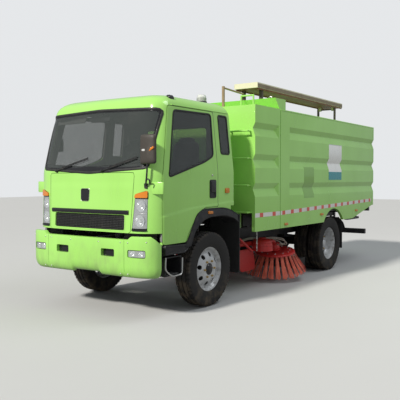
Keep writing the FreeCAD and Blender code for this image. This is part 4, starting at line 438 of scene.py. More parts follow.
def on_side(sign):
    """Places on the cab's left side for (y, z, h), or on its right side where the sign is -1."""
    def place(y, z, h):
        y, z, h = together(y, z, h)
        outline = half_outline(level_at(z))[..., :FRONT_STEPS + CORNER_STEPS + SIDE_STEPS + 2, :]
        x = row_by_row(y, outline[..., 1], outline[..., 0])
        skin = pressed(np.stack([x, y, z], -1))
        return (skin + np.stack([h, 0 * h, 0 * h], -1)) * (sign, 1, 1)
    return place


def cab_skin():
    """The whole outer skin: level outlines from the sill to the crown, then shrunk to the roof's middle."""
    heights = np.concatenate([np.arange(0.885, 1.175, 0.036), np.arange(1.175, 1.375, 0.009),
                              np.arange(1.39, 2.5, 0.036)])
    lower = level_at(heights)
    upper = CAB_LEVELS[CAB_LEVELS[:, 0] > 2.5][::9]
    levels = np.concatenate([lower, upper, CAB_LEVELS[-1:]])
    half = half_outline(levels)
    z = np.broadcast_to(levels[:, None, :1], half.shape[:2] + (1,))
    left = np.concatenate([half, z], -1)
    right = left[:, -2:0:-1] * (-1, 1, 1)
    ring = pressed(np.concatenate([left, right], 1))
    crown = ring[-1]
    middle = np.array([0.0, AXLE - 0.08, CAB_LEVELS[-1, 0] + 0.006])
    share = np.linspace(0, 1, 8)[1:, None, None]
    dome = crown + (middle - crown) * share
    dome[..., 2] = crown[..., 2] + 0.006 * (1 - (1 - share[..., 0]) ** 2)
    return Form().grid(np.concatenate([ring, dome]), around=True)


def from_axle(points):
    """Pairs measured behind the front axle, as places along the truck."""
    return np.asarray(points, float) + (AXLE, 0)


DOOR_EDGE = from_axle(mm((-970, 885), (-970, 1700), (-770, 2548), (190, 2548), (190, 1300), (-100, 1300),
                         (-275, 1230), (-500, 955), (-520, 885)))
DOOR_WINDOW = from_axle(mm((-860, 1685), (-665, 2500), (135, 2512), (112, 1965), (-90, 1885)))
QUARTER_WINDOW = from_axle(mm((305, 2000), (305, 2512), (515, 2512), (515, 2000)))
BACK_WINDOW = corners(-0.56, 1.9, 0.56, 2.4)
SCREEN_EDGE = mm((-895, 1792), (0, 1738), (895, 1792), (934, 2496), (0, 2524), (-934, 2496))
PANEL_EDGE = mm((-690, 1022), (690, 1022), (724, 1735), (-724, 1735))
LAMP_EDGE = mm((712, 1046), (905, 1046), (905, 1530), (752, 1485))
ARCH_EDGE = from_axle(mm((-560, 700), (-560, 828), (-480, 940), (-300, 1215), (-150, 1283), (300, 1283), (480, 1255),
                         (660, 1183), (660, 700)))
ARCH_INNER = from_axle(mm((-448, 828), (-355, 1010), (-210, 1120), (-40, 1166), (330, 1172), (560, 1120),
                          (662, 1060)))
GRILLE_EDGE = np.array(corners(-0.607, 1.045, 0.607, 1.24))


def grown(outline, amount):
    """The outline moved outwards by an amount."""
    return inset_outline(turning_left(outline), -amount)


def prism(outline, plane, low, high, radius=0.0, count=96):
    """A closed cutting block: the outline, rounded where a radius is given, drawn through a plane's depth."""
    edge = rounded(outline, radius, count) if radius else outline
    return Form().slab(edge, flat_map(plane), [(0, low), (0, high)])


def joined(*forms):
    """Several forms as one."""
    whole = Form()
    for form in forms:
        whole.add(np.concatenate(form.points), form.faces)
    return whole


def pane(outline, place, depth, rings=12, count=96):
    """Glass: the outline drawn in towards its own middle in even shares, laid on the skin."""
    edge = spaced(turning_left(outline), count)
    share = np.linspace(0, 1, rings)[:, None, None]
    flat = edge.mean(0) + (edge - edge.mean(0)) * share
    return Form().grid(place(flat[..., 0], flat[..., 1], -depth), around=True)


def strip_round(outline, place, profile, count=120):
    """A rubber or metal strip: its profile carried round an outline that lies on the skin."""
    edge = spaced(turning_left(outline), count)
    u, v, step = edge[:, 0], edge[:, 1], 0.003
    base = place(u, v, 0)
    outward = unit(np.cross(place(u + step, v, 0) - place(u - step, v, 0),
                            place(u, v + step, 0) - place(u, v - step, 0)))
    outward *= np.sign((outward * (place(u, v, 0.01) - base)).sum(1))[:, None]
    return Form().ring(carried(profile, base, outward, closed=True))


# ---- finishes

class Value:
    """A shader socket that takes part in sums: each operator adds one Math node."""

    def __init__(self, finish, socket):
        self.finish = finish
        self.socket = socket

    def maths(self, operation, first, second=0.0):
        return self.finish.node("ShaderNodeMath", {"operation": operation}, {0: first, 1: second})

    def __add__(self, other):
        return self.maths("ADD", self, other)

    def __radd__(self, other):
        return self.maths("ADD", other, self)

    def __sub__(self, other):
        return self.maths("SUBTRACT", self, other)

    def __rsub__(self, other):
        return self.maths("SUBTRACT", other, self)

    def __mul__(self, other):
        return self.maths("MULTIPLY", self, other)

    def __rmul__(self, other):
        return self.maths("MULTIPLY", other, self)

    def root(self):
        return self.maths("SQRT", self)

    def sine(self):
        return self.maths("SINE", self)

    def between(self, low, high):
        """0 at low and 1 at high with a soft S between; low may be the larger."""
        return self.finish.node("ShaderNodeMapRange", {"interpolation_type": "SMOOTHSTEP"},
                                {"Value": self, "From Min": low, "From Max": high})


class Finish:
    """One procedural material: a Principled shader whose patterns come from Object coordinates."""

    def __init__(self, name, colour, roughness=0.5, **constants):
        self.material = bpy.data.materials.new(name)
        self.material.use_nodes = True
        self.tree = self.material.node_tree
        self.shader = self.tree.nodes["Principled BSDF"]
        self.material.diffuse_color = (*colour, 1.0)
        self.paint(Base_Color=colour, Roughness=roughness, **constants)
        self.where = self.node("ShaderNodeTexCoord", output="Object")

    def feed(self, socket, value):
        """Link a Value to a socket, or set the socket's own number, colour or vector."""
        if isinstance(value, Value):
            self.tree.links.new(value.socket, socket)
        elif socket.type == "RGBA" and len(value) == 3:
            socket.default_value = (*value, 1.0)
        else:
            socket.default_value = value

    def node(self, kind, settings=None, inputs=None, output=0):
        """Add a node: its settings first, then its inputs; the chosen output comes back as a Value."""
        made = self.tree.nodes.new(kind)
        for key, value in (settings or {}).items():
            setattr(made, key, value)
        for key, value in (inputs or {}).items():
            self.feed(made.inputs[key], value)
        return Value(self, made.outputs[output])

    def stretched(self, scale):
        """Object coordinates, scaled along each axis."""
        return self.node("ShaderNodeMapping", {}, {"Vector": self.where, "Scale": scale})

    def noise(self, scale, detail=3.0, where=None):
        return self.node("ShaderNodeTexNoise", {}, {"Vector": where or self.where, "Scale": scale, "Detail": detail,
            "Roughness": 0.55})

    def cells(self, scale, where=None, feature="F1", randomness=1.0):
        return self.node("ShaderNodeTexVoronoi", {"feature": feature}, {"Vector": where or self.where, "Scale": scale,
            "Randomness": randomness})

    def axes(self):
        parts = self.node("ShaderNodeSeparateXYZ", {}, {0: self.where}).socket.node
        return [Value(self, parts.outputs[index]) for index in range(3)]

    def radius(self, axle_y):
        """Distance from a wheel axle that runs along x: the root of the two squares, and the height."""
        y, z = self.axes()[1:]
        across, up = y - axle_y, z - AXLE_Z
        return (across * across + up * up).root(), z

    def mix(self, share, first, second):
        return self.node("ShaderNodeMix", {"data_type": "RGBA"}, {0: share, 6: first, 7: second}, output=2)

    def paint(self, **wanted):
        """Feed named shader sockets, such as Base_Color or Roughness."""
        for words, value in wanted.items():
            self.feed(self.shader.inputs[words.replace("_", " ")], value)
        return self

    def bump(self, height, distance):
        """Raise the surface by a height of 0 to 1 times a distance in metres, and hand over the material."""
        self.paint(Normal=self.node("ShaderNodeBump", {}, {"Height": height, "Distance": distance}))
        return self.material


def seen_apart(tree, dull, shown, out):
    """Show one shader to the camera and another to every other ray."""
    split = tree.nodes.new("ShaderNodeMixShader")
    links = ((split.inputs["Fac"], tree.nodes.new("ShaderNodeLightPath").outputs["Is Camera Ray"]),
             (split.inputs[1], dull), (split.inputs[2], shown), (out.inputs["Surface"], split.outputs["Shader"]))
    for socket, source in links:
        tree.links.new(socket, source)


def body_paint(name, colour, deep):
    """Glossy enamel with faint clouding, fine orange peel, and road film towards the skirts."""
    f = Finish(name, colour, 0.3, Coat_Weight=0.55, Coat_Roughness=0.09, Specular_IOR_Level=0.5)
    z = f.axes()[2]
    cloud = f.noise(0.9, 2.0).between(0.35, 0.68)
    film = f.noise(5.0, 5.0, f.stretched((1.0, 1.0, 0.45))).between(0.4, 0.78)
    streak = f.noise(4.0, 4.0, f.stretched((3.0, 3.0, 0.22))).between(0.5, 0.8)
    low = z.between(1.15, 0.55)
    dirt = film * low * 0.42 + streak * 0.05 + film * 0.04
    tone = f.mix(cloud * 0.55, colour, deep)
    peel = f.noise(260.0, 1.0)
    f.paint(Base_Color=f.mix(dirt, tone, (0.21, 0.19, 0.13)), Roughness=0.2 + cloud * 0.06 + dirt * 0.8,
            Coat_Weight=0.55 - dirt * 0.5)
    return f.bump(peel * 0.25 + f.noise(3.0, 1.0) * 0.75, 0.0009)


def moulded_plastic(name, colour, dust=(0.19, 0.17, 0.14)):
    """Grained moulded plastic, greyed by dust in its hollows."""
    f = Finish(name, colour, 0.55, Specular_IOR_Level=0.4)
    grain = f.cells(520.0)
    patch = f.noise(7.0, 5.0).between(0.48, 0.8)
    f.paint(Base_Color=f.mix(patch * 0.3, colour, dust), Roughness=0.48 + patch * 0.25)
    return f.bump(grain, 0.00035)


def frame_paint(name, colour, rust=0.3):
    """Satin frame paint with road dust, chips and rust."""
    f = Finish(name, colour, 0.5)
    dust = f.noise(4.0, 6.0).between(0.42, 0.75)
    chips = f.noise(26.0, 6.0).between(0.66, 0.74) * rust
    tone = f.mix(dust * 0.38, colour, (0.15, 0.125, 0.095))
    f.paint(Base_Color=f.mix(chips, tone, (0.16, 0.055, 0.02)), Roughness=0.42 + dust * 0.35)
    return f.bump(f.noise(60.0, 4.0), 0.0008)


def tyre_rubber(name, axle_y, mud):
    """Black rubber, greyer on the tread, with dried mud on the tread and the lower side."""
    f = Finish(name, (0.018, 0.018, 0.019), 0.8, Specular_IOR_Level=0.3)
    radius, z = f.radius(axle_y)
    tread = radius.between(0.44, 0.47)
    blotch = f.noise(9.0, 6.0).between(0.4, 0.72)
    low = z.between(0.55, 0.02)
    dirt = tread * blotch * 0.45 + blotch * low * mud + 0.05
    ring = (radius * 900.0).sine() * 0.5 + 0.5
    bead = radius.between(0.33, 0.3)
    f.paint(Base_Color=f.mix(dirt, (0.02, 0.02, 0.021), (0.145, 0.115, 0.08)), Roughness=0.66 + dirt * 0.25)
    return f.bump(ring * bead * 0.4 + f.noise(160.0, 3.0) * 0.6, 0.0008)


def wheel_paint(name, axle_y, colour):
    """Aluminium-coloured wheel paint, darkened in the dish by a ring of painted shade, with dusty patches and small
    stains.
    """
    f = Finish(name, colour, 0.4, Metallic=0.35)
    radius = f.radius(axle_y)[0]
    patch = f.noise(16.0, 6.0).between(0.42, 0.74)
    # ring: painted shade, darkening the deep dish between the flange and the disc.
    ring = radius.between(0.2, 0.27) * radius.between(0.292, 0.275)
    specks = f.noise(90.0, 3.0).between(0.68, 0.76) * 0.5
    # The darkening mixes the painted-shade ring with random dusty patches.
    dirt = ring * 0.42 * (patch + 0.35) + patch * 0.22
    tone = f.mix(dirt, colour, (0.17, 0.15, 0.125))
    f.paint(Base_Color=f.mix(specks, tone, (0.14, 0.07, 0.035)), Roughness=0.34 + dirt * 0.5)
    return f.bump(f.noise(120.0, 3.0), 0.0005)


def clear_glass(name, colour, alpha):
    """Tinted safety glass, a little dusty."""
    f = Finish(name, colour, 0.04, Alpha=alpha, Specular_IOR_Level=0.8, Coat_Weight=0.6, Coat_Roughness=0.02)
    film = f.noise(3.0, 5.0).between(0.45, 0.8)
    f.paint(Base_Color=f.mix(film * 0.1, colour, (0.3, 0.29, 0.26)), Roughness=0.03 + film * 0.05)
    f.material.surface_render_method = "BLENDED"
    return f.material


def ribbed_lens(name, colour, alpha, along, pitch):
    """Moulded lens with fine ribs across one axis."""
    f = Finish(name, colour, 0.1, Alpha=alpha, Coat_Weight=0.7, Coat_Roughness=0.03)
    axis = f.axes()[along]
    ribs = (axis * (2 * math.pi / pitch)).sine() * 0.5 + 0.5
    f.paint(Base_Color=f.mix(ribs * 0.35, colour, tuple(0.55 * value for value in colour)),
            Roughness=0.08 + ribs * 0.1)
    f.material.surface_render_method = "BLENDED"
    return f.bump(ribs, 0.0012)


def metal(name, colour, roughness, wear=0.3, brush=(1.0, 1.0, 1.0)):
    """Bare or plated metal with a drawn grain and stains."""
    f = Finish(name, colour, roughness, Metallic=0.9)
    grain = f.noise(120.0, 3.0, f.stretched(brush))
    spots = f.noise(18.0, 6.0).between(0.52, 0.78) * wear
    f.paint(Base_Color=f.mix(spots, colour, (0.2, 0.13, 0.08)), Roughness=roughness + grain * 0.12 + spots * 0.4,
            Metallic=0.9 - spots)
    return f.bump(grain, 0.0004)


def plain_enamel(name, colour, worn, roughness, wear):
    """One-coat enamel whose edges and patches have worn to another tone."""
    f = Finish(name, colour, roughness, Coat_Weight=0.2, Coat_Roughness=0.2)
    patch = f.noise(8.0, 6.0).between(0.5, 0.76)
    fine = f.noise(70.0, 4.0).between(0.6, 0.72)
    share = (patch * 0.6 + fine * 0.6) * wear
    f.paint(Base_Color=f.mix(share, colour, worn), Roughness=roughness + share * 0.5)
    return f.bump(f.noise(90.0, 3.0), 0.0006)


def bristle_finish(name, colour, dark):
    """Flat synthetic bristle: lengthwise fibres, darker towards the root, greyed at the tips."""
    f = Finish(name, colour, 0.5, Sheen_Weight=0.2)
    z = f.axes()[2]
    fibre = f.noise(150.0, 2.0, f.stretched((1.0, 1.0, 0.12)))
    lump = f.noise(11.0, 2.0).between(0.3, 0.7)
    root = z.between(0.3, 0.46)
    tone = f.mix(lump * 0.7, colour, dark)
    f.paint(Base_Color=f.mix(root * 0.55, f.mix(fibre * 0.45, tone, (0.5, 0.16, 0.07)), (0.05, 0.008, 0.006)),
            Roughness=0.42 + fibre * 0.3)
    return f.bump(fibre, 0.0015)


def tape_finish(name, colour, bright):
    """Reflective tape with a small cell pattern under a clear face."""
    f = Finish(name, colour, 0.25, Coat_Weight=0.6, Coat_Roughness=0.1)
    cell = f.cells(240.0, randomness=0.1)
    dirt = f.noise(9.0, 5.0).between(0.5, 0.8)
    f.paint(Base_Color=f.mix(dirt * 0.35, f.mix(cell * 0.6, colour, bright), (0.22, 0.19, 0.14)),
            Roughness=0.22 + dirt * 0.4)
    return f.bump(cell, 0.0003)


def banded_sign(name, upper, lower, border):
    """Sign sheet: a pale field over a plain coloured band, split by height, with faint weather marks."""
    f = Finish(name, upper, 0.3, Coat_Weight=0.4, Coat_Roughness=0.12)
    z = f.axes()[2]
    band = z.between(1.79, 1.786)
    head = z.between(2.262, 2.266)
    soft = f.noise(6.0, 5.0).between(0.45, 0.8)
    tone = f.mix(head, f.mix(band, upper, lower), border)
    f.paint(Base_Color=f.mix(soft * 0.12, tone, (0.3, 0.3, 0.26)), Roughness=0.26 + soft * 0.2)
    return f.bump(f.noise(40.0, 2.0), 0.0004)


def woven_cloth(name, colour, thread):
    """Seat cloth: crossed threads from two sine patterns, with worn lighter patches."""
    f = Finish(name, colour, 0.9, Sheen_Weight=0.3)
    x, y, z = f.axes()
    weave = ((x * 2600.0).sine() * ((y + z) * 2600.0).sine()) * 0.5 + 0.5
    worn = f.noise(5.0, 4.0).between(0.45, 0.75)
    f.paint(Base_Color=f.mix(weave * 0.5 + worn * 0.3, colour, thread), Roughness=0.85 + worn * 0.1)
    return f.bump(weave, 0.0008)


def wire_mesh(name, colour, bright):
    """Expanded grille mesh seen as rows of small dark cells with brighter edges."""
    f = Finish(name, colour, 0.4)
    cell = f.cells(75.0, f.stretched((1.0, 0.2, 1.6)), "DISTANCE_TO_EDGE", 0.15)
    edge = cell.between(0.12, 0.02)
    dust = f.noise(6.0, 5.0).between(0.5, 0.8)
    f.paint(Base_Color=f.mix(edge * 0.8, colour, f.mix(dust * 0.6, bright, (0.13, 0.11, 0.08))),
            Roughness=0.65 - edge * 0.25)
    return f.bump(edge, 0.004)


def floor_finish(name, colour, bounce):
    """Pale studio floor with the faintest mottling, which throws back less light than the camera sees."""
    f = Finish(name, colour, 0.75)
    f.paint(Base_Color=f.mix(f.noise(0.5, 4.0).between(0.3, 0.7) * 0.5, colour,
                             tuple(value * 0.97 for value in colour)))
    f.bump(f.noise(60.0, 2.0), 0.0004)
    out = next(node for node in f.tree.nodes if node.type == "OUTPUT_MATERIAL")
    dull = f.tree.nodes.new("ShaderNodeBsdfDiffuse")
    dull.inputs["Color"].default_value = (bounce, bounce, bounce, 1.0)
    seen_apart(f.tree, dull.outputs["BSDF"], out.inputs["Surface"].links[0].from_socket, out)
    return f.material


def edge_dark(name, colour, roughness):
    """Soft black rubber with a chalky bloom."""
    f = Finish(name, colour, roughness)
    bloom = f.noise(24.0, 4.0).between(0.45, 0.8)
    f.paint(Base_Color=f.mix(bloom * 0.25, colour, (0.1, 0.1, 0.095)), Roughness=roughness + bloom * 0.2)
    return f.bump(f.noise(200.0, 2.0), 0.0003)


# ---- sizes and colours a user may change

def level(name, description, default, low=0.0, high=10.0, **more):
    """A number setting for the panel."""
    return bpy.props.FloatProperty(name=name, description=description, default=default, min=low, max=high, **more)


def metres(name, description, default):
    """A length setting for the panel."""
    return level(name, description, default, 0.0005, 1.0, precision=4, unit="LENGTH")


def tint(name, description, default):
    """A linear colour setting for the panel."""
    return bpy.props.FloatVectorProperty(name=name, description=description, default=default, size=3, min=0.0,
        max=1.0, subtype="COLOR")


def number(name, description, default, low=3, high=400):
    """A count setting for the panel."""
    return bpy.props.IntProperty(name=name, description=description, default=default, min=low, max=high)


class SweeperColours(bpy.types.PropertyGroup):
    """Colours of the truck's finishes."""

    green: tint("Body green", "Enamel of the cab and body", (0.4, 0.78, 0.17))
    deep_green: tint("Deep green", "Darker tone clouded into the enamel", (0.33, 0.68, 0.12))
    black: tint("Moulded black", "Flares, steps and mirror heads", (0.02, 0.02, 0.022))
    frame: tint("Frame paint", "Chassis, axles and deck", (0.03, 0.03, 0.033))
    silver: tint("Wheel silver", "Wheel discs and rims", (0.62, 0.63, 0.64))
    red: tint("Brush red", "Brush plates, guards and arms", (0.66, 0.03, 0.028))
    bristle: tint("Bristle red", "Flat strips of the brushes", (1.0, 0.2, 0.125))
    cream: tint("Board cream", "Roof board top and edge", (0.72, 0.66, 0.5))
    tan: tint("Tan paint", "Roof posts and board frame", (0.34, 0.24, 0.14))
    amber: tint("Amber lens", "Markers and indicators", (0.9, 0.28, 0.02))
    tape_red: tint("Tape red", "Red squares of the side tape", (0.7, 0.05, 0.03))
    tape_white: tint("Tape white", "Pale strip of the side tape", (0.8, 0.78, 0.72))
    teal: tint("Sign teal", "Lower band of the side sign", (0.02, 0.3, 0.33))
    cloth: tint("Seat cloth", "Seat covers", (0.05, 0.052, 0.058))
    glass: tint("Glass", "Tint of the cab glass", (0.075, 0.088, 0.082))


class CabSizes(bpy.types.PropertyGroup):
    """Sizes of the cab's skin, glass and trim."""

    wall: metres("Skin wall", "Thickness of the cab and door skins", 0.03)
    pane_depth: metres("Glass depth", "How far the glass lies below the skin", 0.006)
    pane_thick: metres("Glass thickness", "Thickness of each pane", 0.005)
    gasket: metres("Gasket width", "Half width of the rubber round each pane", 0.013)
    corner: metres("Window corner", "Corner reach of the window openings", 0.06)
    screen_border: metres("Screen border", "Half width of the dark band inside the screen", 0.015)


class WheelSizes(bpy.types.PropertyGroup):
    """Sizes of the tyres and wheels."""

    pitches: number("Tread pitches", "Tread blocks round one tyre", 54)
    groove: metres("Groove depth", "Depth of the tread grooves", 0.014)
    hand_hole: metres("Hand hole radius", "Radius of each hole in the wheel disc", 0.03)
    stud: metres("Stud radius", "Radius of each wheel stud nut", 0.014)
    studs: number("Studs", "Wheel studs on each wheel", 6, 4, 12)


class BrushSizes(bpy.types.PropertyGroup):
    """Sizes of the disc brushes."""

    tufts: number("Tufts", "Groups of bristle strips round one brush", 26, 8, 60)
    strips: number("Strips in a tuft", "Flat bristle strips in one tuft", 9, 3, 20)
    strip_width: metres("Strip width", "Width of one flat bristle", 0.0125)
    strip_thick: metres("Strip thickness", "Thickness of one flat bristle", 0.0024)


class TrimSizes(bpy.types.PropertyGroup):
    """Sizes of the body's trim."""

    tape: metres("Tape height", "Height of the reflective side tape", 0.062)
    square: metres("Tape square", "Length of one red square of the tape", 0.1)
    rib: metres("Door rib", "Half width of a pressed rib on the tail door", 0.035)


class StageSizes(bpy.types.PropertyGroup):
    """Camera, lights and floor."""

    lens: level("Lens", "Focal length on a 36 mm frame", 54.894, 10.0, 300.0, unit="CAMERA")
    key: level("Key light", "Strength of the low front light", 3.7, high=50.0)
    sky: level("Sky light", "Strength of the even light all round", 0.42)
    backdrop: level("Backdrop", "Brightness of the sky that the camera sees", 0.82)
    bounce: level("Bounce", "Share of the light that the floor throws back", 0.27, high=1.0)
    floor: tint("Floor", "Colour of the studio floor", (0.58, 0.58, 0.57))


GROUPS = {"sweeper_colours": SweeperColours, "sweeper_cab": CabSizes, "sweeper_wheels": WheelSizes,
          "sweeper_brushes": BrushSizes, "sweeper_trim": TrimSizes, "sweeper_stage": StageSizes}

FINISHES = {
    "body_green": (body_paint, "green", "deep_green"),
    "faded_green": (body_paint, ("deep_green", 0.8), ("deep_green", 0.66)),
    "black_plastic": (moulded_plastic, "black"),
    "gloss_black": (plain_enamel, (0.012, 0.012, 0.014), (0.05, 0.05, 0.05), 0.14, 0.2),
    "chassis_dark": (frame_paint, "frame"),
    "cast_grey": (frame_paint, (0.16, 0.16, 0.17), 0.5),
    "tyre_front": (tyre_rubber, AXLE, 0.75),
    "tyre_rear": (tyre_rubber, REAR_AXLE, 0.45),
    "rim_front": (wheel_paint, AXLE, "silver"),
    "rim_rear": (wheel_paint, REAR_AXLE, "silver"),
    "mirror_shell": (moulded_plastic, (0.06, 0.052, 0.044)),
    # Painted shade: the dark red-brown of the board's underside stands in for the shade under the pale board.
    "board_under": (plain_enamel, (0.23, 0.075, 0.05), (0.11, 0.04, 0.028), 0.6, 0.5),
    "bracket_dark": (frame_paint, (0.075, 0.055, 0.038), 0.5),
    "cab_glass": (clear_glass, "glass", 0.4),
    "clear_lens": (ribbed_lens, (0.8, 0.84, 0.86), 0.3, 0, 0.012),
    "amber_lens": (ribbed_lens, "amber", 0.92, 0, 0.006),
    "side_amber": (ribbed_lens, "amber", 0.95, 1, 0.006),
    "red_lens": (ribbed_lens, (0.5, 0.015, 0.012), 0.95, 0, 0.006),
    "white_lens": (ribbed_lens, (0.8, 0.8, 0.78), 0.9, 2, 0.01),
    "reflector": (metal, (0.82, 0.84, 0.86), 0.1, 0.05),
    "rubber_black": (edge_dark, (0.012, 0.012, 0.012), 0.55),
    "guard_rubber": (edge_dark, (0.02, 0.02, 0.02), 0.75),
    "seat_cloth": (woven_cloth, "cloth", (0.13, 0.14, 0.16)),
    "dash_grey": (moulded_plastic, (0.055, 0.056, 0.06)),
    "liner": (moulded_plastic, (0.23, 0.23, 0.22), (0.16, 0.15, 0.13)),
    "bare_steel": (metal, (0.42, 0.42, 0.42), 0.38),
    "zinc": (metal, (0.6, 0.6, 0.58), 0.3),
    "stud_gold": (metal, (0.6, 0.42, 0.16), 0.34),
    "tan_paint": (plain_enamel, "tan", (0.16, 0.08, 0.04), 0.5, 0.6),
    "cream_paint": (plain_enamel, "cream", (0.42, 0.34, 0.22), 0.42, 0.4),
    # Painted shade on the board's side trims, a darker brown than the cream top; the same finish also colours the
    # dark seam lines.
    "board_trim": (plain_enamel, (0.25, 0.185, 0.135), (0.12, 0.07, 0.04), 0.5, 0.5),
    "chrome_rod": (metal, (0.75, 0.76, 0.78), 0.08, 0.08, (1.0, 14.0, 1.0)),
    "brush_red": (plain_enamel, "red", (0.16, 0.05, 0.03), 0.42, 0.6),
    "bristle": (bristle_finish, "bristle", (0.66, 0.06, 0.042)),
    "tank_metal": (metal, (0.48, 0.49, 0.5), 0.32, 0.3, (1.0, 6.0, 1.0)),
    "tape_red": (tape_finish, "tape_red", (0.95, 0.2, 0.12)),
    "tape_white": (tape_finish, "tape_white", (0.98, 0.98, 0.95)),
    "sign": (banded_sign, (1.0, 1.0, 0.96), "teal", (0.62, 0.64, 0.6)),
    "mesh_grille": (wire_mesh, (0.01, 0.01, 0.011), (0.17, 0.17, 0.17)),
    "pale_pipe": (plain_enamel, (0.5, 0.47, 0.4), (0.16, 0.13, 0.1), 0.4, 0.7),
}
FINISH_OF_SLOT = {"tyre": "tyre_front", "rim_silver": "rim_front", "lamp_lens": "clear_lens", "lamp_red": "red_lens"}
FINISH_OF_NODE = {"tyres_rear_left": "tyre_rear", "tyres_rear_right": "tyre_rear", "rims_rear_left": "rim_rear",
                  "rims_rear_right": "rim_rear", "splash_guards": "guard_rubber", "board_base": "bracket_dark"}
for slot, keys in (("black_plastic", ("gloss_black", "mirror_shell", "mesh_grille")),
                   ("bare_steel", ("zinc", "stud_gold", "pale_pipe")), ("tyre", ("tyre_front", "tyre_rear")),
                   ("rim_silver", ("reflector", "rim_front", "rim_rear")),
                   ("lamp_lens", ("clear_lens", "amber_lens", "side_amber", "white_lens"))):
    dict.fromkeys(keys, slot)


def colour_of(value):
    """A panel colour by its name, or darkened by the share given with it; a colour or number as it is."""
    name, share = value if isinstance(value, tuple) and isinstance(value[0], str) else (value, 1.0)
    if not isinstance(name, str):
        return value
    return tuple(share * part for part in getattr(bpy.context.scene.sweeper_colours, name))


def finish(key):
    """The named finish, made the first time it is asked for."""
    name = key.replace("_", "-")
    make, *values = FINISHES[key]
    return bpy.data.materials.get(name) or make(name, *map(colour_of, values))


def settings(name):
    """One of the panel's groups of settings."""
    return getattr(bpy.context.scene, name)


def faces_inwards(thing, lining, centre):
    """Give a second finish to the faces that look towards a centre."""
    mesh = thing.data
    mesh.materials.append(finish(lining))
    middle, normal = np.empty((2, len(mesh.polygons) * 3))
    mesh.polygons.foreach_get("center", middle)
    mesh.polygons.foreach_get("normal", normal)
    facing = (unit(middle.reshape(-1, 3) - centre) * normal.reshape(-1, 3)).sum(1)
    mesh.polygons.foreach_set("material_index", (facing < -0.25).astype(np.int32))


class Builder(bpy.types.Operator):
    """Shared behaviour of the builders: run the work and let an error stop the script."""

    bl_options = {"REGISTER"}

    def execute(self, context):
        self.build(context.scene)
        return {"FINISHED"}


class SWEEPER_OT_solids(Builder):
    """Give every packed solid the procedural finish of its slot"""

    bl_idname = "sweeper.solids"
    bl_label = "Finish the solids"

    def build(self, scene):
        slots = {part["node"]: part["material_slot"] for part in frame["record"]["subparts"]}
        for name, thing in frame["nodes"].items():
            slot = slots[name]
            key = FINISH_OF_NODE.get(name, FINISH_OF_SLOT.get(slot, slot))
            thing.data.materials.clear()
            thing.data.materials.append(finish(key))


# ---- profiles and lines of the pieces

LAMP_BOWL = mm((1000, 0), (970, 4), (930, 0), (850, -300), (620, -550), (300, -700), (0, -740), (0, -800),
               (340, -770), (680, -620), (950, -320), (1020, -20))
LAMP_BULB = mm((0, 220), (100, 180), (160, 60), (160, -100), (100, -300), (80, -660), (0, -680))
BUMPER_LINE = eased(mm((0, -3600), (700, -3600), (880, -3584), (985, -3540), (1046, -3470), (1062, -3400)), 0.1, 9,
                    closed=False)
BUMPER_PROFILE = mm((90, 0), (62, 0), (50, 14), (32, 52), (18, 100), (8, 160), (2, 225), (0, 290), (0, 960), (3, 984),
                    (14, 1000), (60, 1000))
FLARE_PROFILE = mm((0, -14), (0, 6), (35, 15), (110, 16), (150, 11), (200, 16), (760, 24), (900, 28), (980, 24),
                   (1000, 14), (1000, -60), (1000, -200), (985, -200), (960, -20), (100, -14))
MIRROR_PROFILE = mm((20, 0), (200, 0), (400, 0), (600, 1), (780, 2), (900, 6), (965, 14), (1000, 30), (1000, 50),
                    (985, 54), (930, 54), (900, 48))
TYRE_WALL = mm((945, 470), (972, 458), (992, 436), (1000, 405), (992, 372), (965, 342), (930, 322), (900, 312),
               (885, 302), (860, 292), (800, 289))
FRONT_RIM = mm((62, 88), (88, 90), (120, 90.5), (150, 88.5), (178, 79), (205, 61), (226, 46), (241, 43), (250, 52),
               (259, 74), (272, 84), (286, 88), (290, 85), (288, 80), (272, 70), (258, 30), (246, 0), (258, -40),
               (280, -77), (289.5, -82), (284, -84), (268, -78), (240, -30), (236, 20), (218, 40), (196, 60),
               (170, 76), (146, 83), (62, 84))
REAR_RIM = mm((76, -30), (100, -40), (140, -45), (175, -50), (205, -57), (228, -54), (240, -30), (250, 10), (260, 55),
              (270, 74), (286, 84), (290, 80), (288, 75), (270, 60), (258, 10), (252, -40), (280, -77), (289.5, -82),
              (284, -84), (262, -76), (236, -66), (205, -67), (170, -61), (100, -53), (76, -42))
INNER_RIM = mm((289, -85), (278, -78), (252, -50), (252, 60), (278, 78), (289, 85), (284, 87), (244, 62), (244, -54),
               (280, -87))
FRONT_HUB = mm((0, 112), (28, 111), (46, 107), (56, 99), (62, 92), (78, 90.5), (80, 86), (0, 86))
REAR_HUB = mm((0, 16), (40, 15), (60, 9), (66, -4), (72, -24), (90, -30), (92, -44), (0, -44))
GROOVES = (2.395, 1.94, 1.52)
GROOVE_UP, GROOVE_DOWN, GROOVE_DEPTH = 0.08, 0.118, 0.04
TAPE_SLOPE = (1.196 - 1.104) / (3.5 + 0.53)


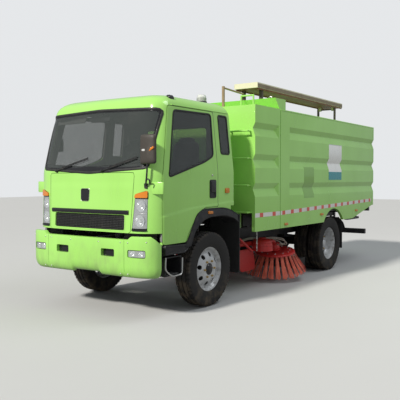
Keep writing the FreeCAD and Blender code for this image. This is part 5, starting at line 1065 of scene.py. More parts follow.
class SWEEPER_OT_cab(Builder):
    """Build the cab's outer skin with its doorways, window openings, arches and lamp openings"""

    bl_idname = "sweeper.cab"
    bl_label = "Cab skin"

    def build(self, scene):
        cab = settings("sweeper_cab")
        openings = joined(prism(grown(DOOR_EDGE, DOOR_GAP), *THROUGH_SIDE, 0.03, 160).both_sides(),
                          prism(QUARTER_WINDOW, *THROUGH_SIDE, QUARTER_CORNER).both_sides(),
                          prism(BACK_WINDOW, "xz", AXLE + 0.5, AXLE + 0.8, cab.corner))
        arches = joined(prism(ARCH_EDGE, "yz", 0.55, 1.3, 0.05).both_sides(),
                        prism(grown(PANEL_EDGE, 0.006), *THROUGH_NOSE, 0.03))
        lower = joined(prism(from_axle(corners(-1.4, 0.6, -0.978, 1.022)), "yz", -1.3, 1.3),
                       prism(from_axle(corners(0.5, 0.6, 0.9, 1.3)), "yz", -1.3, 1.3),
                       prism(LAMP_EDGE, "xz", AXLE - 1.4, AXLE - 0.85, 0.03).both_sides(),
                       prism(SCREEN_EDGE, "xz", AXLE - 1.4, AXLE - 0.6, cab.corner, 160))
        skin = piece("cab_skin", cab_skin(), "body_green", "cab", ["cab_shell"], wall=cab.wall,
                     cuts=(openings, arches, lower))
        faces_inwards(skin, "liner", (0.0, AXLE - 0.2, 1.85))


class SWEEPER_OT_doors(Builder):
    """Build both doors' outer skins with their window openings"""

    bl_idname = "sweeper.doors"
    bl_label = "Doors"

    def build(self, scene):
        cab = settings("sweeper_cab")
        for side in SIDES:
            keep, window, arch = sided(side, prism(DOOR_EDGE, *THROUGH_SIDE, 0.026, 160),
                                       prism(DOOR_WINDOW, "yz", 0.7, 1.4, cab.corner * 0.8, 120),
                                       prism(grown(ARCH_EDGE, 0.004), "yz", 0.55, 1.4, 0.05))
            door = piece(f"door_skin_{side}", cab_skin(), "body_green", f"door_{side}", [f"door_{side}"],
                         wall=cab.wall, keeps=(keep,), cuts=(window, arch))
            faces_inwards(door, "liner", (0.0, AXLE - 0.4, 1.8))


class SWEEPER_OT_nose(Builder):
    """Build the hinged nose panel with its recess, grille bar, mesh and plain badge plate"""

    bl_idname = "sweeper.nose"
    bl_label = "Nose panel"

    def build(self, scene):
        body = "nose_panel"
        keep = prism(PANEL_EDGE, *THROUGH_NOSE, 0.028, 120)
        hole = prism(GRILLE_EDGE, "xz", AXLE - 1.45, AXLE - 0.95, 0.018)
        piece("nose_skin", cab_skin(), "body_green", body, ["front_panel"], wall=0.022, keeps=(keep,), cuts=(hole,))
        path = on_front(np.linspace(-0.662, 0.662, 81), 1.2635, 0.0)
        bar = Form().bar(carried(sill_strip(0.027, 0.016, 0.01), path, (0.0, -1.0, 0.0)))
        piece("grille_bar", bar, "gloss_black", body, ["grille"], bevel=0.002)
        piece("grille_net", pane(GRILLE_EDGE * (1.02, 1.0), on_front, 0.026), "mesh_grille", body, wall=0.004)
        slats = Form()
        for z in np.linspace(1.062, 1.205, 8):
            slats.tube(on_front(np.linspace(-0.612, 0.612, 41), z, -0.014), 0.0034, 6)
        z = np.linspace(1.048, 1.219, 5)
        for x in np.linspace(-0.59, 0.59, 25):
            slats.tube(on_front(x + 0 * z, z, -0.016), 0.0022, 6)
        piece("grille_slats", slats, "black_plastic", body)
        piece("grille_rim", strip_round(rounded(GRILLE_EDGE, 0.018), on_front, sill_strip(0.007, 0.003, 0.02)),
              "body_green", body)
        badge = Form().plate(mm((-115, 1392), (15, 1392), (22, 1540), (-122, 1540)), 0.03, 48, on_front,
                             mm((0, -8), (0, 6), (3, 10), (10, 11), (12, 8)))
        piece("badge_plate", badge, "gloss_black", body)
        edge = rounded(mm((-119, 1388), (19, 1388), (26, 1544), (-126, 1544)), 0.03)
        piece("badge_rim", strip_round(edge, on_front, sill_strip(0.003, 0.007)), "zinc", body)


class SWEEPER_OT_glass(Builder):
    """Lay the curved panes in the cab and doors, with their gaskets and the dark border of the screen"""

    bl_idname = "sweeper.glass"
    bl_label = "Glass"

    def build(self, scene):
        cab = settings("sweeper_cab")
        depth = cab.pane_depth
        left, right = on_side(1), on_side(-1)

        def back(x, z, h):
            return flat_map("xz")(x, z, AXLE + 0.63 + h)

        screen, rear = rounded(SCREEN_EDGE, cab.corner, 160), rounded(BACK_WINDOW, cab.corner)
        quarter = rounded(QUARTER_WINDOW, QUARTER_CORNER)
        panes = [pane(rounded(SCREEN_EDGE, cab.corner, 120), on_front, depth, 16, 120)]
        strip = sill_strip(cab.gasket, 0.007)
        seals = [strip_round(screen, on_front, sill_strip(cab.gasket * 1.25, 0.008), 160)]
        for outline, place in ((quarter, left), (quarter, right), (rear, back)):
            panes.append(pane(outline, place, depth))
            seals.append(strip_round(outline, place, strip))
        piece("cab_panes", joined(*panes), "cab_glass", "cab", ["cab_glass"], wall=cab.pane_thick)
        piece("cab_seals", joined(*seals), "rubber_black", "cab")
        border = cab.screen_border
        band = strip_round(inset_outline(screen, border), lambda x, z, h: on_front(x, z, h - 0.001),
                           sill_strip(border, 0.0008, 0.002), 160)
        low = mm((-850, 1806), (0, 1768), (850, 1806), (862, 1856), (0, 1815), (-862, 1856))
        band = joined(band, pane(rounded(low, 0.012, 120), on_front, -0.0005, 3, 120))
        piece("screen_border", band, "gloss_black", "cab")
        outline = rounded(DOOR_WINDOW, cab.corner * 0.8, 120)
        for side, place in (("left", left), ("right", right)):
            body = f"door_{side}"
            piece(f"door_pane_{side}", pane(outline, place, depth, 14, 120), "cab_glass", body,
                  [f"door_glass_{side}"], wall=cab.pane_thick)
            piece(f"door_seal_{side}", strip_round(outline, place, strip, 140), "rubber_black", body)


class SWEEPER_OT_lamps(Builder):
    """Build the headlamps: dark housings, two bright bowls each, and clear and amber lens faces"""

    bl_idname = "sweeper.lamps"
    bl_label = "Headlamps"

    def build(self, scene):
        back = pane(rounded(inset_outline(LAMP_EDGE, 0.003), 0.03), on_front, 0.058)
        piece("lamp_backs", back.both_sides(), "gloss_black", "cab", ["headlamps"], wall=0.004)
        sides = strip_round(inset_outline(rounded(LAMP_EDGE, 0.03), 0.002), on_front,
                            corners(-0.0015, 0.002, 0.0015, -0.06))
        piece("lamp_sides", sides.both_sides(), "gloss_black", "cab")
        bowls, bulbs, bars = Form(), Form(), Form()
        for x, z, size in ((0.822, 1.345, 0.066), (0.812, 1.168, 0.07)):
            centre = on_front(x, z, -0.01)
            bowls.turn(LAMP_BOWL * (size, size * 0.9), centre, (0.1, -1.0, 0.0), 40)
            bulbs.turn(LAMP_BULB * (size, size * 0.8), centre, (0.1, -1.0, 0.0), 20)
        piece("lamp_bowls", bowls.both_sides(), "reflector", "cab")
        piece("lamp_bulbs", bulbs.both_sides(), "white_lens", "cab")
        lens = mm((716, 1080), (902, 1080), (902, 1432), (745, 1432))
        amber = mm((746, 1440), (902, 1440), (902, 1524), (756, 1482))
        trim = mm((714, 1050), (903, 1050), (903, 1074), (715, 1074))
        for name, key, edge, radius, depth, wall in (("lens", "clear_lens", lens, 0.014, 0.002, 0.003),
                                                     ("amber", "amber_lens", amber, 0.012, 0.001, 0.02),
                                                     ("trim", "gloss_black", trim, 0.008, 0.0, 0.012)):
            piece(f"lamp_{name}", pane(rounded(edge, radius), on_front, depth).both_sides(), key, "cab", wall=wall)
        for z in (1.256, 1.436):
            bars.tube(on_front(np.linspace(0.735, 0.9, 12), z, -0.01), 0.0065, 8)
        piece("lamp_bars", bars.both_sides(), "gloss_black", "cab")
        plan = from_nose(mm((900, 1072), (1020, 1064), (1084, 1040), (1092, 1024), (1054, 1030), (980, 1032),
                            (920, 1022)))
        vane = Form().plate(plan, 0.012, 64, flat_map("xy"),
                            mm((10, 1484), (3, 1486), (0, 1493), (0, 1617), (3, 1625), (10, 1628)))
        piece("corner_vanes", vane.both_sides(), "body_green", "cab")


def on_bumper(x, z, h):
    """Place on the bumper's face: y is read off its plan line at |x|, less h."""
    x, z, h = together(x, z, h)
    return np.stack([x, np.interp(np.abs(x), *BUMPER_LINE.T) - h, z], -1)


class SWEEPER_OT_bumper(Builder):
    """Build the bumper shell with its tow openings, seams and bolts, and the fog lamps in it"""

    bl_idname = "sweeper.bumper"
    bl_label = "Bumper"

    def build(self, scene):
        body = "chassis"
        right = BUMPER_LINE[::-1] * (-1, 1)
        plan = spaced(np.concatenate([right[:-1], BUMPER_LINE]), 180, closed=False)
        run = unit(np.gradient(plan, axis=0))
        outward = np.stack([run[:, 1], -run[:, 0]], 1)
        along = np.abs(plan[:, 0])
        top = 0.95 + 0.04 * eased_step((along - 0.69) / 0.07)
        top = np.minimum(top, 0.99 - 0.8 * np.clip(plan[:, 1] + 3.515, 0, 1))
        bottom = 0.5 + 0.03 * eased_step((0.25 - along) / 0.03)
        inward, share = BUMPER_PROFILE.T
        where = plan[:, None] - outward[:, None] * inward[None, :, None]
        z = bottom[:, None] + (top - bottom)[:, None] * share[None]
        shell = Form().bar(np.concatenate([where, z[..., None]], -1))
        holes = joined(prism(corners(0.282, 0.735, 0.5, 0.828), "xz", -3.7, -3.5, 0.02),
                       prism(corners(0.708, 0.742, 0.95, 0.834), "xz", -3.7, -3.4, 0.022))
        seam = prism(corners(0.655, 0.48, 0.659, 1.02), "xz", -3.7, -3.588)
        piece("bumper_shell", shell, "body_green", body, ["bumper"], cuts=(holes.both_sides(), seam.both_sides()))
        dark = joined(pane(rounded(corners(0.27, 0.722, 0.512, 0.842), 0.02), on_bumper, 0.05, 4),
                      pane(rounded(corners(0.698, 0.732, 0.96, 0.844), 0.02), on_bumper, 0.052, 6))
        piece("bumper_backs", dark.both_sides(), "gloss_black", body, wall=0.004)
        lens = pane(rounded(corners(0.718, 0.75, 0.942, 0.826), 0.018), on_bumper, 0.01)
        piece("fog_lens", lens.both_sides(), "clear_lens", body, ["fog_lamps"], wall=0.004)
        bowls, bolts = Form(), Form()
        for x in (0.772, 0.885):
            bowls.turn(mm((34, 0), (31, 2), (28, -10), (14, -24), (0, -27), (0, -30), (17, -27), (33, -12)),
                       on_bumper(x, 0.788, -0.016), (0.05, -1.0, 0.0), 28)
        piece("fog_bowls", bowls.both_sides(), "reflector", body)
        for x, z in ((0.6, 0.915), (0.715, 0.915), (0.6, 0.545), (0.715, 0.545), (0.24, 0.905), (0.96, 0.93)):
            bolts.turn(mm((0, 6.2), (4.5, 5.2), (7.5, 3), (9, 0), (9, -4), (0, -4)), on_bumper(x, z, 0.0),
                       (0.0, -1.0, 0.0), 12)
        piece("bumper_bolts", bolts.both_sides(), "zinc", body)


def flare_place(y, z, h):
    """Place on the cab's side, holding the side's width past both of its ends."""
    y, z, h = together(y, z, h)
    skin = on_side(1)(np.clip(y, AXLE - 0.88, AXLE + 0.54), z, h)
    return np.stack([skin[..., 0], y, z], -1)


def from_nose(points):
    """Pairs (x, reach ahead of the front axle) as places in plan."""
    x, reach = np.asarray(points, float).T
    return np.stack([x, AXLE - reach], 1)


class SWEEPER_OT_flares(Builder):
    """Build the moulded wheel flares with their lamps, the step mouldings, treads and step loops"""

    bl_idname = "sweeper.flares"
    bl_label = "Flares and steps"

    def build(self, scene):
        outer, inner = (spaced(eased(edge, 0.09, 9, closed=False), 80, closed=False)
                        for edge in (ARCH_EDGE[1:-1], ARCH_INNER))
        share, lift = FLARE_PROFILE.T
        line = outer[:, None] + (inner - outer)[:, None] * share[None, :, None]
        flare = Form().bar(flare_place(line[..., 0], line[..., 1], lift[None] + 0 * line[..., 0]))
        piece("flares", flare.both_sides(), "black_plastic", "cab", ["wheel_flares"])
        lamp = Form().plate(from_axle(corners(-0.074, 1.208, 0.031, 1.247)), 0.012, 48, flare_place,
                            mm((0, 12), (0, 26), (3, 31), (10, 33)))
        piece("flare_lamps", lamp.both_sides(), "side_amber", "cab")
        foot = from_axle(mm((-950, 756), (-560, 756), (-485, 800), (-462, 862), (-950, 876)))
        step = Form().plate(foot, 0.02, 80, flare_place, mm((0, -120), (0, 4), (3, 12), (12, 15), (20, 15), (24, 10)))
        piece("step_mouldings", step.both_sides(), "black_plastic", "cab", ["cab_steps"])
        tread = Form()
        for y in np.linspace(-3.262, -3.006, 9):
            tread.box((0.89, y - 0.007, 0.5085), (1.01, y + 0.007, 0.5185), 0.002)
        piece("step_treads", tread.both_sides(), "bare_steel", "chassis")
        loop = eased(mm((1036, -3288, 730), (1036, -3299, 584), (1036, -3162, 492), (1036, -2968, 498),
                        (1036, -2961, 702)), 0.05, 7, closed=False)
        piece("step_loops", Form().tube(loop, 0.01).both_sides(), "zinc", "chassis")


class SWEEPER_OT_mirrors(Builder):
    """Build the tall left mirror on its arm, the right door's small mirror, and the wipers"""

    bl_idname = "sweeper.mirrors"
    bl_label = "Mirrors and wipers"

    def build(self, scene):
        head = rounded(mm((815, 1832), (1046, 1838), (1046, 2178), (822, 2180)), 0.032, 64)
        middle = head.mean(0)
        share, depth = MIRROR_PROFILE.T[..., None]
        ring = middle + (head - middle) * share[..., None]
        crown = 0.018 * ((ring[..., 0] - middle[0]) / 0.116) ** 2 * (depth < 0.045)
        shell = np.stack([ring[..., 0], -3.52 + np.minimum(depth + crown, 0.048 + 0 * crown) + 0.006 * (depth > 0.05),
                          ring[..., 1]], -1)
        piece("mirror_cover", Form().bar(shell), "mirror_shell", "cab")
        black, blades, arms = Form(), Form(), Form()
        black.tube(eased(mm((930, -3492, 1850), (926, -3500, 1700), (900, -3486, 1600), (872, -3440, 1575)), 0.05, 8,
                         closed=False), 0.0105)
        black.tube(eased(mm((905, -3492, 1640), (940, -3505, 1665), (972, -3505, 1650), (960, -3480, 1600)), 0.02, 6,
                         closed=False), 0.009, 8)
        black.box((0.846, -3.47, 1.548), (0.902, -3.42, 1.612), 0.006)
        upright = flat_map("xz")
        plate = Form().plate(corners(0.868, 1.985, 0.914, 2.008), 0.004, 24, upright,
                             mm((0, -3515), (0, -3521.5), (1, -3522)))
        piece("mirror_plate", plate, "white_lens", "cab")
        glow = Form().plate(mm((962, 1975), (1036, 2012), (1036, 2040), (995, 2020)), 0.006, 24, upright,
                            mm((0, -3490), (0, -3516.5), (3, -3518)))
        piece("mirror_lamp", glow, "amber_lens", "cab")
        piece("mirror_head", black, "black_plastic", "cab", ["mirror_left"])
        glass = Form().slab(inset_outline(head, 0.013), upright, mm((0, -3467), (0, -3462.5), (3, -3462)))
        piece("mirror_glass", glass, "reflector", "cab")
        small = Form().plate(corners(-1.094, 2.042, -1.037, 2.229), 0.018, 48, upright,
                             mm((22, -3050), (8, -3047), (0, -3036), (0, -2986), (4, -2981), (8, -2981)))
        small.tube(mm((-972, -3178, 2102), (-1000, -3130, 2108), (-1064, -3045, 2110)), 0.009, 8)
        piece("mirror_small", small, "black_plastic", "door_right", ["mirror_right"])
        t = np.linspace(0, 1, 24)
        for foot, tip in (((-0.6, 1.765), (-0.045, 1.911)), ((0.229, 1.76), (0.748, 1.909))):
            x, z = foot[0] + (tip[0] - foot[0]) * t, foot[1] + (tip[1] - foot[1]) * t
            blades.tube(on_front(x[4:], z[4:] + 0.016, 0.014), 0.0052, 8)
            arms.tube(on_front(x, z, 0.022 - 0.006 * t), 0.0062, 8)
            arms.turn(mm((0, 34), (10, 32), (17, 24), (20, 0), (0, 0)), on_front(*foot, 0.002), (0.0, -1.0, 0.12), 18)
        piece("wiper_arms", arms, "black_plastic", "cab")
        piece("wiper_blades", blades, "rubber_black", "cab")


class SWEEPER_OT_door_trim(Builder):
    """Build the door handles and locks, and the side lamps, roof markers and rain rails of the cab"""

    bl_idname = "sweeper.door_trim"
    bl_label = "Door trim"

    def build(self, scene):
        left = on_side(1)
        for side in SIDES:
            body = f"door_{side}"
            plate = Form().plate(corners(-2.362, 1.412, -2.212, 1.652), 0.026, 64, left,
                                 mm((0, -6), (0, 5), (4, 9), (18, 10), (22, 4), (30, 2)))
            lever = Form().plate(corners(-2.346, 1.492, -2.228, 1.636), 0.02, 48, left,
                                 mm((0, 3), (0, 13), (5, 17), (16, 18)))
            lock = Form().turn(mm((0, 8), (10, 7.5), (13.5, 4), (14, -4), (0, -4)), left(-2.3, 1.708, 0.0),
                               (1, 0, 0), 20)
            sided(side, plate, lever, lock)
            piece(f"handle_cup_{side}", plate, "black_plastic", body)
            piece(f"handle_lever_{side}", lever, "gloss_black", body)
            piece(f"door_lock_{side}", lock, "zinc", body)
        amber = Form().plate(from_axle(corners(0.365, 1.47, 0.462, 1.54)), 0.018, 40, left,
                             mm((0, -3), (0, 10), (4, 16), (14, 18)))
        piece("cab_markers", amber.both_sides(), "side_amber", "cab")
        top = Form().plate(corners(0.812, -3.02, 0.888, -2.92), 0.018, 40, flat_map("xy"),
                           mm((0, 2640), (0, 2664), (8, 2680), (24, 2694)))
        piece("roof_markers", top.both_sides(), "gloss_black", "cab")
        y = np.linspace(AXLE - 0.7, AXLE + 0.56, 40)
        rail = Form().bar(carried(sill_strip(0.007, 0.01), left(y, 2.562 + 0 * y, 0.0), (1, 0, 0)))
        piece("rain_rails", rail.both_sides(), "body_green", "cab")


class SWEEPER_OT_inside(Builder):
    """Build the seats as crowned sewn cushions, with the visor and the inner mirror"""

    bl_idname = "sweeper.inside"
    bl_label = "Cab inside"

    @staticmethod
    def cushion(centre, half, height, lean=0.0, channels=3):
        """A crowned cushion: a rounded-square outline swelling from its seam to its middle on both faces.

        Across is x; up is z leaned back by an angle. The face stands out as (1 - r^4), less narrow
        bell-shaped channels across it.
        """
        ring = np.linspace(0, 1, 15)
        angle = np.linspace(0, 2 * math.pi, 72, endpoint=False)
        corner = (np.abs(np.cos(angle)) ** 5 + np.abs(np.sin(angle)) ** 5) ** (-1 / 5)
        u, v = ring[:, None] * (corner * np.cos(angle))[None], ring[:, None] * (corner * np.sin(angle))[None]
        swell = 1 - np.maximum(np.abs(u), np.abs(v)) ** 4
        along = v * channels * 0.5
        seam = 0.1 * np.exp(-((along - np.round(along)) / 0.05) ** 2) * (ring < 0.93)[:, None]
        across, up = u * half[0] * (1 - 0.02 * swell), v * half[1]
        faces = [np.stack([across, sign * height * (0.3 + 0.7 * swell - seam), up], -1) for sign in (1.0, -1.0)]
        turn = np.array([[1, 0, 0], [0, math.cos(lean), -math.sin(lean)], [0, math.sin(lean), math.cos(lean)]])
        return np.concatenate([faces[0], faces[1][::-1]]) @ turn.T + np.asarray(centre)

    def build(self, scene):
        hidden = ["seats"]
        for side, sign in (("left", 1.0), ("right", -1.0)):
            for part, behind, z, half, height, lean, channels in (
                    ("base", -0.01, 1.54, (0.225, 0.225), 0.062, math.pi / 2 - 0.08, 3),
                    ("back", 0.215, 1.89, (0.215, 0.29), 0.058, -0.14, 4),
                    ("head", 0.262, 2.165, (0.125, 0.065), 0.042, -0.14, 3)):
                pad = Form().grid(self.cushion((sign * 0.47, AXLE + behind, z), half, height, lean, channels),
                                  around=True)
                piece(f"seat_{part}_{side}", pad, "seat_cloth", "cab", hidden, crease=70.0)
                hidden = ()
        base = Form().box((0.27, AXLE - 0.19, 1.235), (0.67, AXLE + 0.19, 1.478), 0.012)
        base.tube([(0.47, AXLE + 0.25, 2.02), (0.47, AXLE + 0.262, 2.12)], 0.012, 8)
        piece("seat_boxes", base.both_sides(), "dash_grey", "cab")
        visor = Form().plate(mm((-880, 2385), (-300, 2385), (-300, 2500), (-865, 2500)), 0.03, 72, on_front,
                             mm((6, -78), (0, -74), (0, -66), (6, -62)))
        piece("visor", visor, "liner", "cab")
        inner = Form().plate(mm((-220, 2385), (110, 2385), (115, 2465), (-225, 2465)), 0.024, 64, on_front,
                             mm((10, -108), (0, -100), (0, -84), (6, -80)))
        inner.tube(mm((-55, -3215, 2430), (-55, -3190, 2490), (-55, -3185, 2540)), 0.008, 8)
        piece("inner_mirror", inner, "black_plastic", "cab")


def tyre_form(centre, half, pitches, depth):
    """A treaded tyre: one cross-section turned about X, its radius dropping in grooves and shoulder notches.

    Three grooves run round it, shifted sideways by a triangle wave of one pitch; the shoulder drops by
    most of the groove depth over a quarter of each pitch.
    """
    pitch = np.array([0.0, 0.05, 0.3, 0.35, 0.55, 0.8])
    phase = np.tile(pitch, pitches)
    angle = 2 * math.pi * (np.repeat(np.arange(pitches), len(pitch)) + phase) / pitches
    edges = np.array([0.065, 0.08, 0.43, 0.445, 0.585, 0.6, 0.9])
    station = np.concatenate([-edges[::-1], edges])
    floor = np.array([0, 0, 1, 1, 0, 0, 1, 1, 0, 0, 1, 1, 0, 0], float)
    shoulder = (np.abs(station) > 0.595).astype(float)
    notch = ((phase > 0.04) & (phase < 0.31)).astype(float)[:, None]
    wave = np.abs(2 * phase - 1) - 0.5
    across = station[None] + wave[:, None] * 0.055 * (np.abs(station) < 0.89)[None]
    radius = TYRE_RADIUS - 0.008 * station[None] ** 2 - depth * floor[None] - 0.75 * depth * shoulder[None] * notch
    wall = TYRE_WALL * (1, TYRE_RADIUS / 0.487)
    side_across = np.broadcast_to(wall[:, 0], (len(angle), len(wall)))
    side_radius = np.broadcast_to(wall[:, 1], side_across.shape) - 0.5 * depth * notch * (wall[None, :, 1] > 0.455)
    a = np.concatenate([-side_across[:, ::-1], across, side_across], 1)
    r = np.concatenate([side_radius[:, ::-1], radius, side_radius], 1)
    angle = angle[:, None]
    return np.stack([centre[0] + half * a, centre[1] + r * np.sin(angle), centre[2] + r * np.cos(angle)], -1)


def round_wheel(centre, radius, count, begin=0.0):
    """Centres evenly spaced on a circle about the wheel's axis."""
    angle = begin + 2 * math.pi * np.arange(count) / count
    return np.asarray(centre) + np.stack([0 * angle, radius * np.sin(angle), radius * np.cos(angle)], 1)


class SWEEPER_OT_wheels(Builder):
    """Build the treaded tyres, and the wheels with their hand holes, stud nuts, hubs and valves"""

    bl_idname = "sweeper.wheels"
    bl_label = "Wheels and tyres"

    def build(self, scene):
        sizes = settings("sweeper_wheels")
        half = (FRONT_TYRE[1].x - FRONT_TYRE[0].x) / 2
        front_x = (FRONT_TYRE[1].x + FRONT_TYRE[0].x) / 2
        rear_out, rear_in = REAR_TYRES[1].x - half, REAR_TYRES[0].x + half
        stud, hole = sizes.stud, sizes.hand_hole
        nut = [(0.0, 0.026), (0.0075, 0.026), (0.0082, 0.019), (stud, 0.018), (stud, 0.0), (0.0, 0.0)]
        drill = [(0.0, -0.15), (hole, -0.15), (hole, 0.15), (0.0, 0.15)]
        along = (1, 0, 0)
        for side in SIDES:
            for end, plural, xs, y, rim, dome, seat, bolts, flat, cover in (
                    ("front", "", (front_x,), AXLE, FRONT_RIM, FRONT_HUB, 0.0895, 0.11, 0.05, "gloss_black"),
                    ("rear", "s", (rear_out, rear_in), REAR_AXLE, REAR_RIM, REAR_HUB, -0.043, 0.125, -0.02,
                     "rim_rear")):
                body, node, paint = f"wheel{plural}_{end}_{side}", f"{plural}_{end}_{side}", f"rim_{end}"
                hub = np.array([xs[0], y, AXLE_Z])
                rubber, disc, holes, nuts, cap, rest = (Form() for _ in range(6))
                for x in xs:
                    rubber.ring(tyre_form((x, y, AXLE_Z), half, sizes.pitches, sizes.groove))
                disc.turn(rim, hub, along, 96, closed=True)
                for place in round_wheel(hub, 0.19, 8, 0.2):
                    holes.turn(drill, place, along, 24)
                for place in round_wheel(hub, bolts, sizes.studs, 0.5):
                    nuts.turn(nut, place + (seat, 0, 0), along, 6)
                if end == "rear":
                    rest.turn(INNER_RIM, (rear_in, y, AXLE_Z), along, 72, closed=True)
                cap.turn(dome, hub, along, 40)
                stem = round_wheel(hub, 0.252, 1, 1.2)[0]
                bend = ((0.0, 0.0, 0.0), (0.02, -0.004, -0.004), (0.036, -0.014, -0.01))
                rest.tube([stem + (flat + out, back, down) for out, back, down in bend], 0.0038, 8)
                sided(side, rubber, disc, holes, nuts, cap, rest)
                piece(f"tread_{end}_{side}", rubber, f"tyre_{end}", body, [f"tyre{node}"], crease=28.0)
                piece(f"wheel_{end}_{side}", disc, paint, body, [f"rim{node}"], cuts=(holes,), crease=40.0)
                piece(f"nuts_{end}_{side}", nuts, "stud_gold", body, crease=25.0)
                piece(f"hub_{end}_{side}", cap, cover, body)
                piece(f"valve_{end}_{side}", rest, paint, body)


def side_sheet(front, back, low, high, thick):
    """A thin sheet laid on the body's left side, bent into the V grooves that it crosses."""
    bends = [centre + step for centre in GROOVES for step in (GROOVE_UP, 0.0, -GROOVE_DOWN)]
    z = np.array(sorted([low, high] + [bend for bend in bends if low < bend < high]))
    sunk = GROOVE_DEPTH * sum(np.clip(1 - np.maximum((z - centre) / GROOVE_UP, (centre - z) / GROOVE_DOWN), 0, 1)
                              for centre in GROOVES)
    outer, inner = (np.stack([BODY_HALF - sunk + out, z], 1) for out in (thick, -0.002))
    ring = np.concatenate([outer, inner[::-1]])
    return Form().bar(np.stack([np.stack([ring[:, 0], 0 * ring[:, 0] + y, ring[:, 1]], -1) for y in (front, back)]))


class SWEEPER_OT_trim(Builder):
    """Build the side tape, sign sheet, markers, brackets, mudguards, beacon and lifting eye"""

    bl_idname = "sweeper.trim"
    bl_label = "Body trim"

    def build(self, scene):
        sizes = settings("sweeper_trim")
        half = sizes.square / 2

        def runs(ends, out):
            y = np.asarray(ends, float)
            z = 1.104 + TAPE_SLOPE * np.clip(y + 0.53, 0, 9)
            a, b, c, d = [np.stack([0 * y + h, y, z + up], -1)
                          for h in (BODY_HALF, BODY_HALF + out) for up in (0, sizes.tape)]
            ring = [np.stack([p[:, 0], p[:, 1], q[:, 1], q[:, 0]], 1) for p, q in ((a, b), (c, d))]
            return Form().bar(np.stack(ring, 1)).both_sides()

        for body, white, middle in (("chassis", (-1.302, -0.548), np.array([-1.12, -0.735])),
                ("hopper", (-0.52, 3.47), np.linspace(-0.47 + half, 3.43 - half, 14))):
            piece(f"tape_pale_{body}", runs([white], 0.0009), "tape_white", body)
            piece(f"tape_red_{body}", runs(np.stack([middle - half, middle + half], 1), 0.0014), "tape_red", body)
        piece("sign_sheet", side_sheet(1.296, 1.878, 1.645, 2.278, 0.0025), "sign", "hopper")
        piece("faded_patch", side_sheet(0.294, 0.682, 1.347, 1.859, 0.0012), "faded_green", "hopper")
        lamps, under, bands, links = (Form() for _ in range(4))
        for y, z in ((-0.345, 0.956), (2.636, 1.045), (1.0, 1.045)):
            lamps.plate(corners(y - 0.05, z - 0.02, y + 0.05, z + 0.02), 0.01, 32, flat_map("yz"),
                        [(0, BODY_HALF), (0, BODY_HALF + 0.012), (0.004, BODY_HALF + 0.018),
                         (0.012, BODY_HALF + 0.019)])
        piece("side_markers", lamps.both_sides(), "side_amber", "hopper")
        y = np.linspace(-0.505, 3.49, 30)
        edge = carried(sill_strip(0.01, 0.01), np.stack([0 * y + BODY_HALF - 0.004, y, 0 * y + BODY_TOP - 0.013], 1),
                       (1, 0, 0))
        piece("top_edges", Form().bar(edge).both_sides(), "body_green", "hopper")
        for low, high, round_by in (((0.93, 2.45, 0.862), (1.01, 3.04, 0.905), 0.006),
                ((0.94, 2.52, 0.905), (0.99, 2.56, 0.985), 0.004), ((0.94, 2.92, 0.905), (0.99, 2.96, 1.01), 0.004)):
            under.box(low, high, round_by)
        piece("lamp_brackets", under.both_sides(), "chassis_dark", "hopper")
        path = spaced(eased(mm((790, 1937, 941), (790, 2175, 829), (790, 2269, 702), (790, 2330, 672)), 0.09, 9,
                            closed=False), 24, closed=False)
        guard = carried(mm((240, 0), (240, 4), (232, 12), (225, 4), (-240, 4), (-240, 0)), path, (0.0, 0.5, 0.8))
        piece("rear_mudguards", Form().bar(guard).both_sides(), "guard_rubber", "chassis")
        foot, up = (0.085, -1.2, BODY_TOP), (0, 0, 1)
        light = Form().turn(mm((0, 232), (30, 230), (58, 218), (70, 196), (74, 168), (74, 120), (0, 120)), foot, up,
                            36)
        piece("beacon", light, "white_lens", "chassis")
        seat = Form().turn(mm((0, 119), (80, 119), (84, 112), (84, 100), (30, 92), (22, 30), (45, 6), (60, 0),
                              (0, 0)), foot, up, 36)
        piece("beacon_seat", seat, "black_plastic", "chassis")
        for z in (0.132, 0.15, 0.168):
            bands.turn(circle(0.003, 6) + (0.0745, z), foot, up, 36, closed=True)
        piece("beacon_bands", bands, "gloss_black", "chassis")
        low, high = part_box("chains")
        t = np.linspace(0, 2 * math.pi, 16, endpoint=False)
        oval, rise = 0.0095 * np.cos(t), 0.0235 * np.sin(t)
        for index, z in enumerate(np.arange(high.z - 0.024, low.z + 0.01, -0.034)):
            turn = index % 2
            path = np.stack([high.x - 0.013 + oval * turn, (low.y + high.y) / 2 + oval * (1 - turn), z + rise], 1)
            links.ring(carried(circle(0.0036, 6), path, (0, 1, 0) if turn else (1, 0, 0), closed=True))
        piece("chain_links", links.both_sides(), "zinc", "chassis", ["chains"])
        eye = Form().turn(circle(0.007, 8) + (0.026, 0.0), (0.9, -0.5, 2.914), (0, 1, 0), 24, closed=True)
        piece("lifting_eye", eye, "zinc", "hopper")


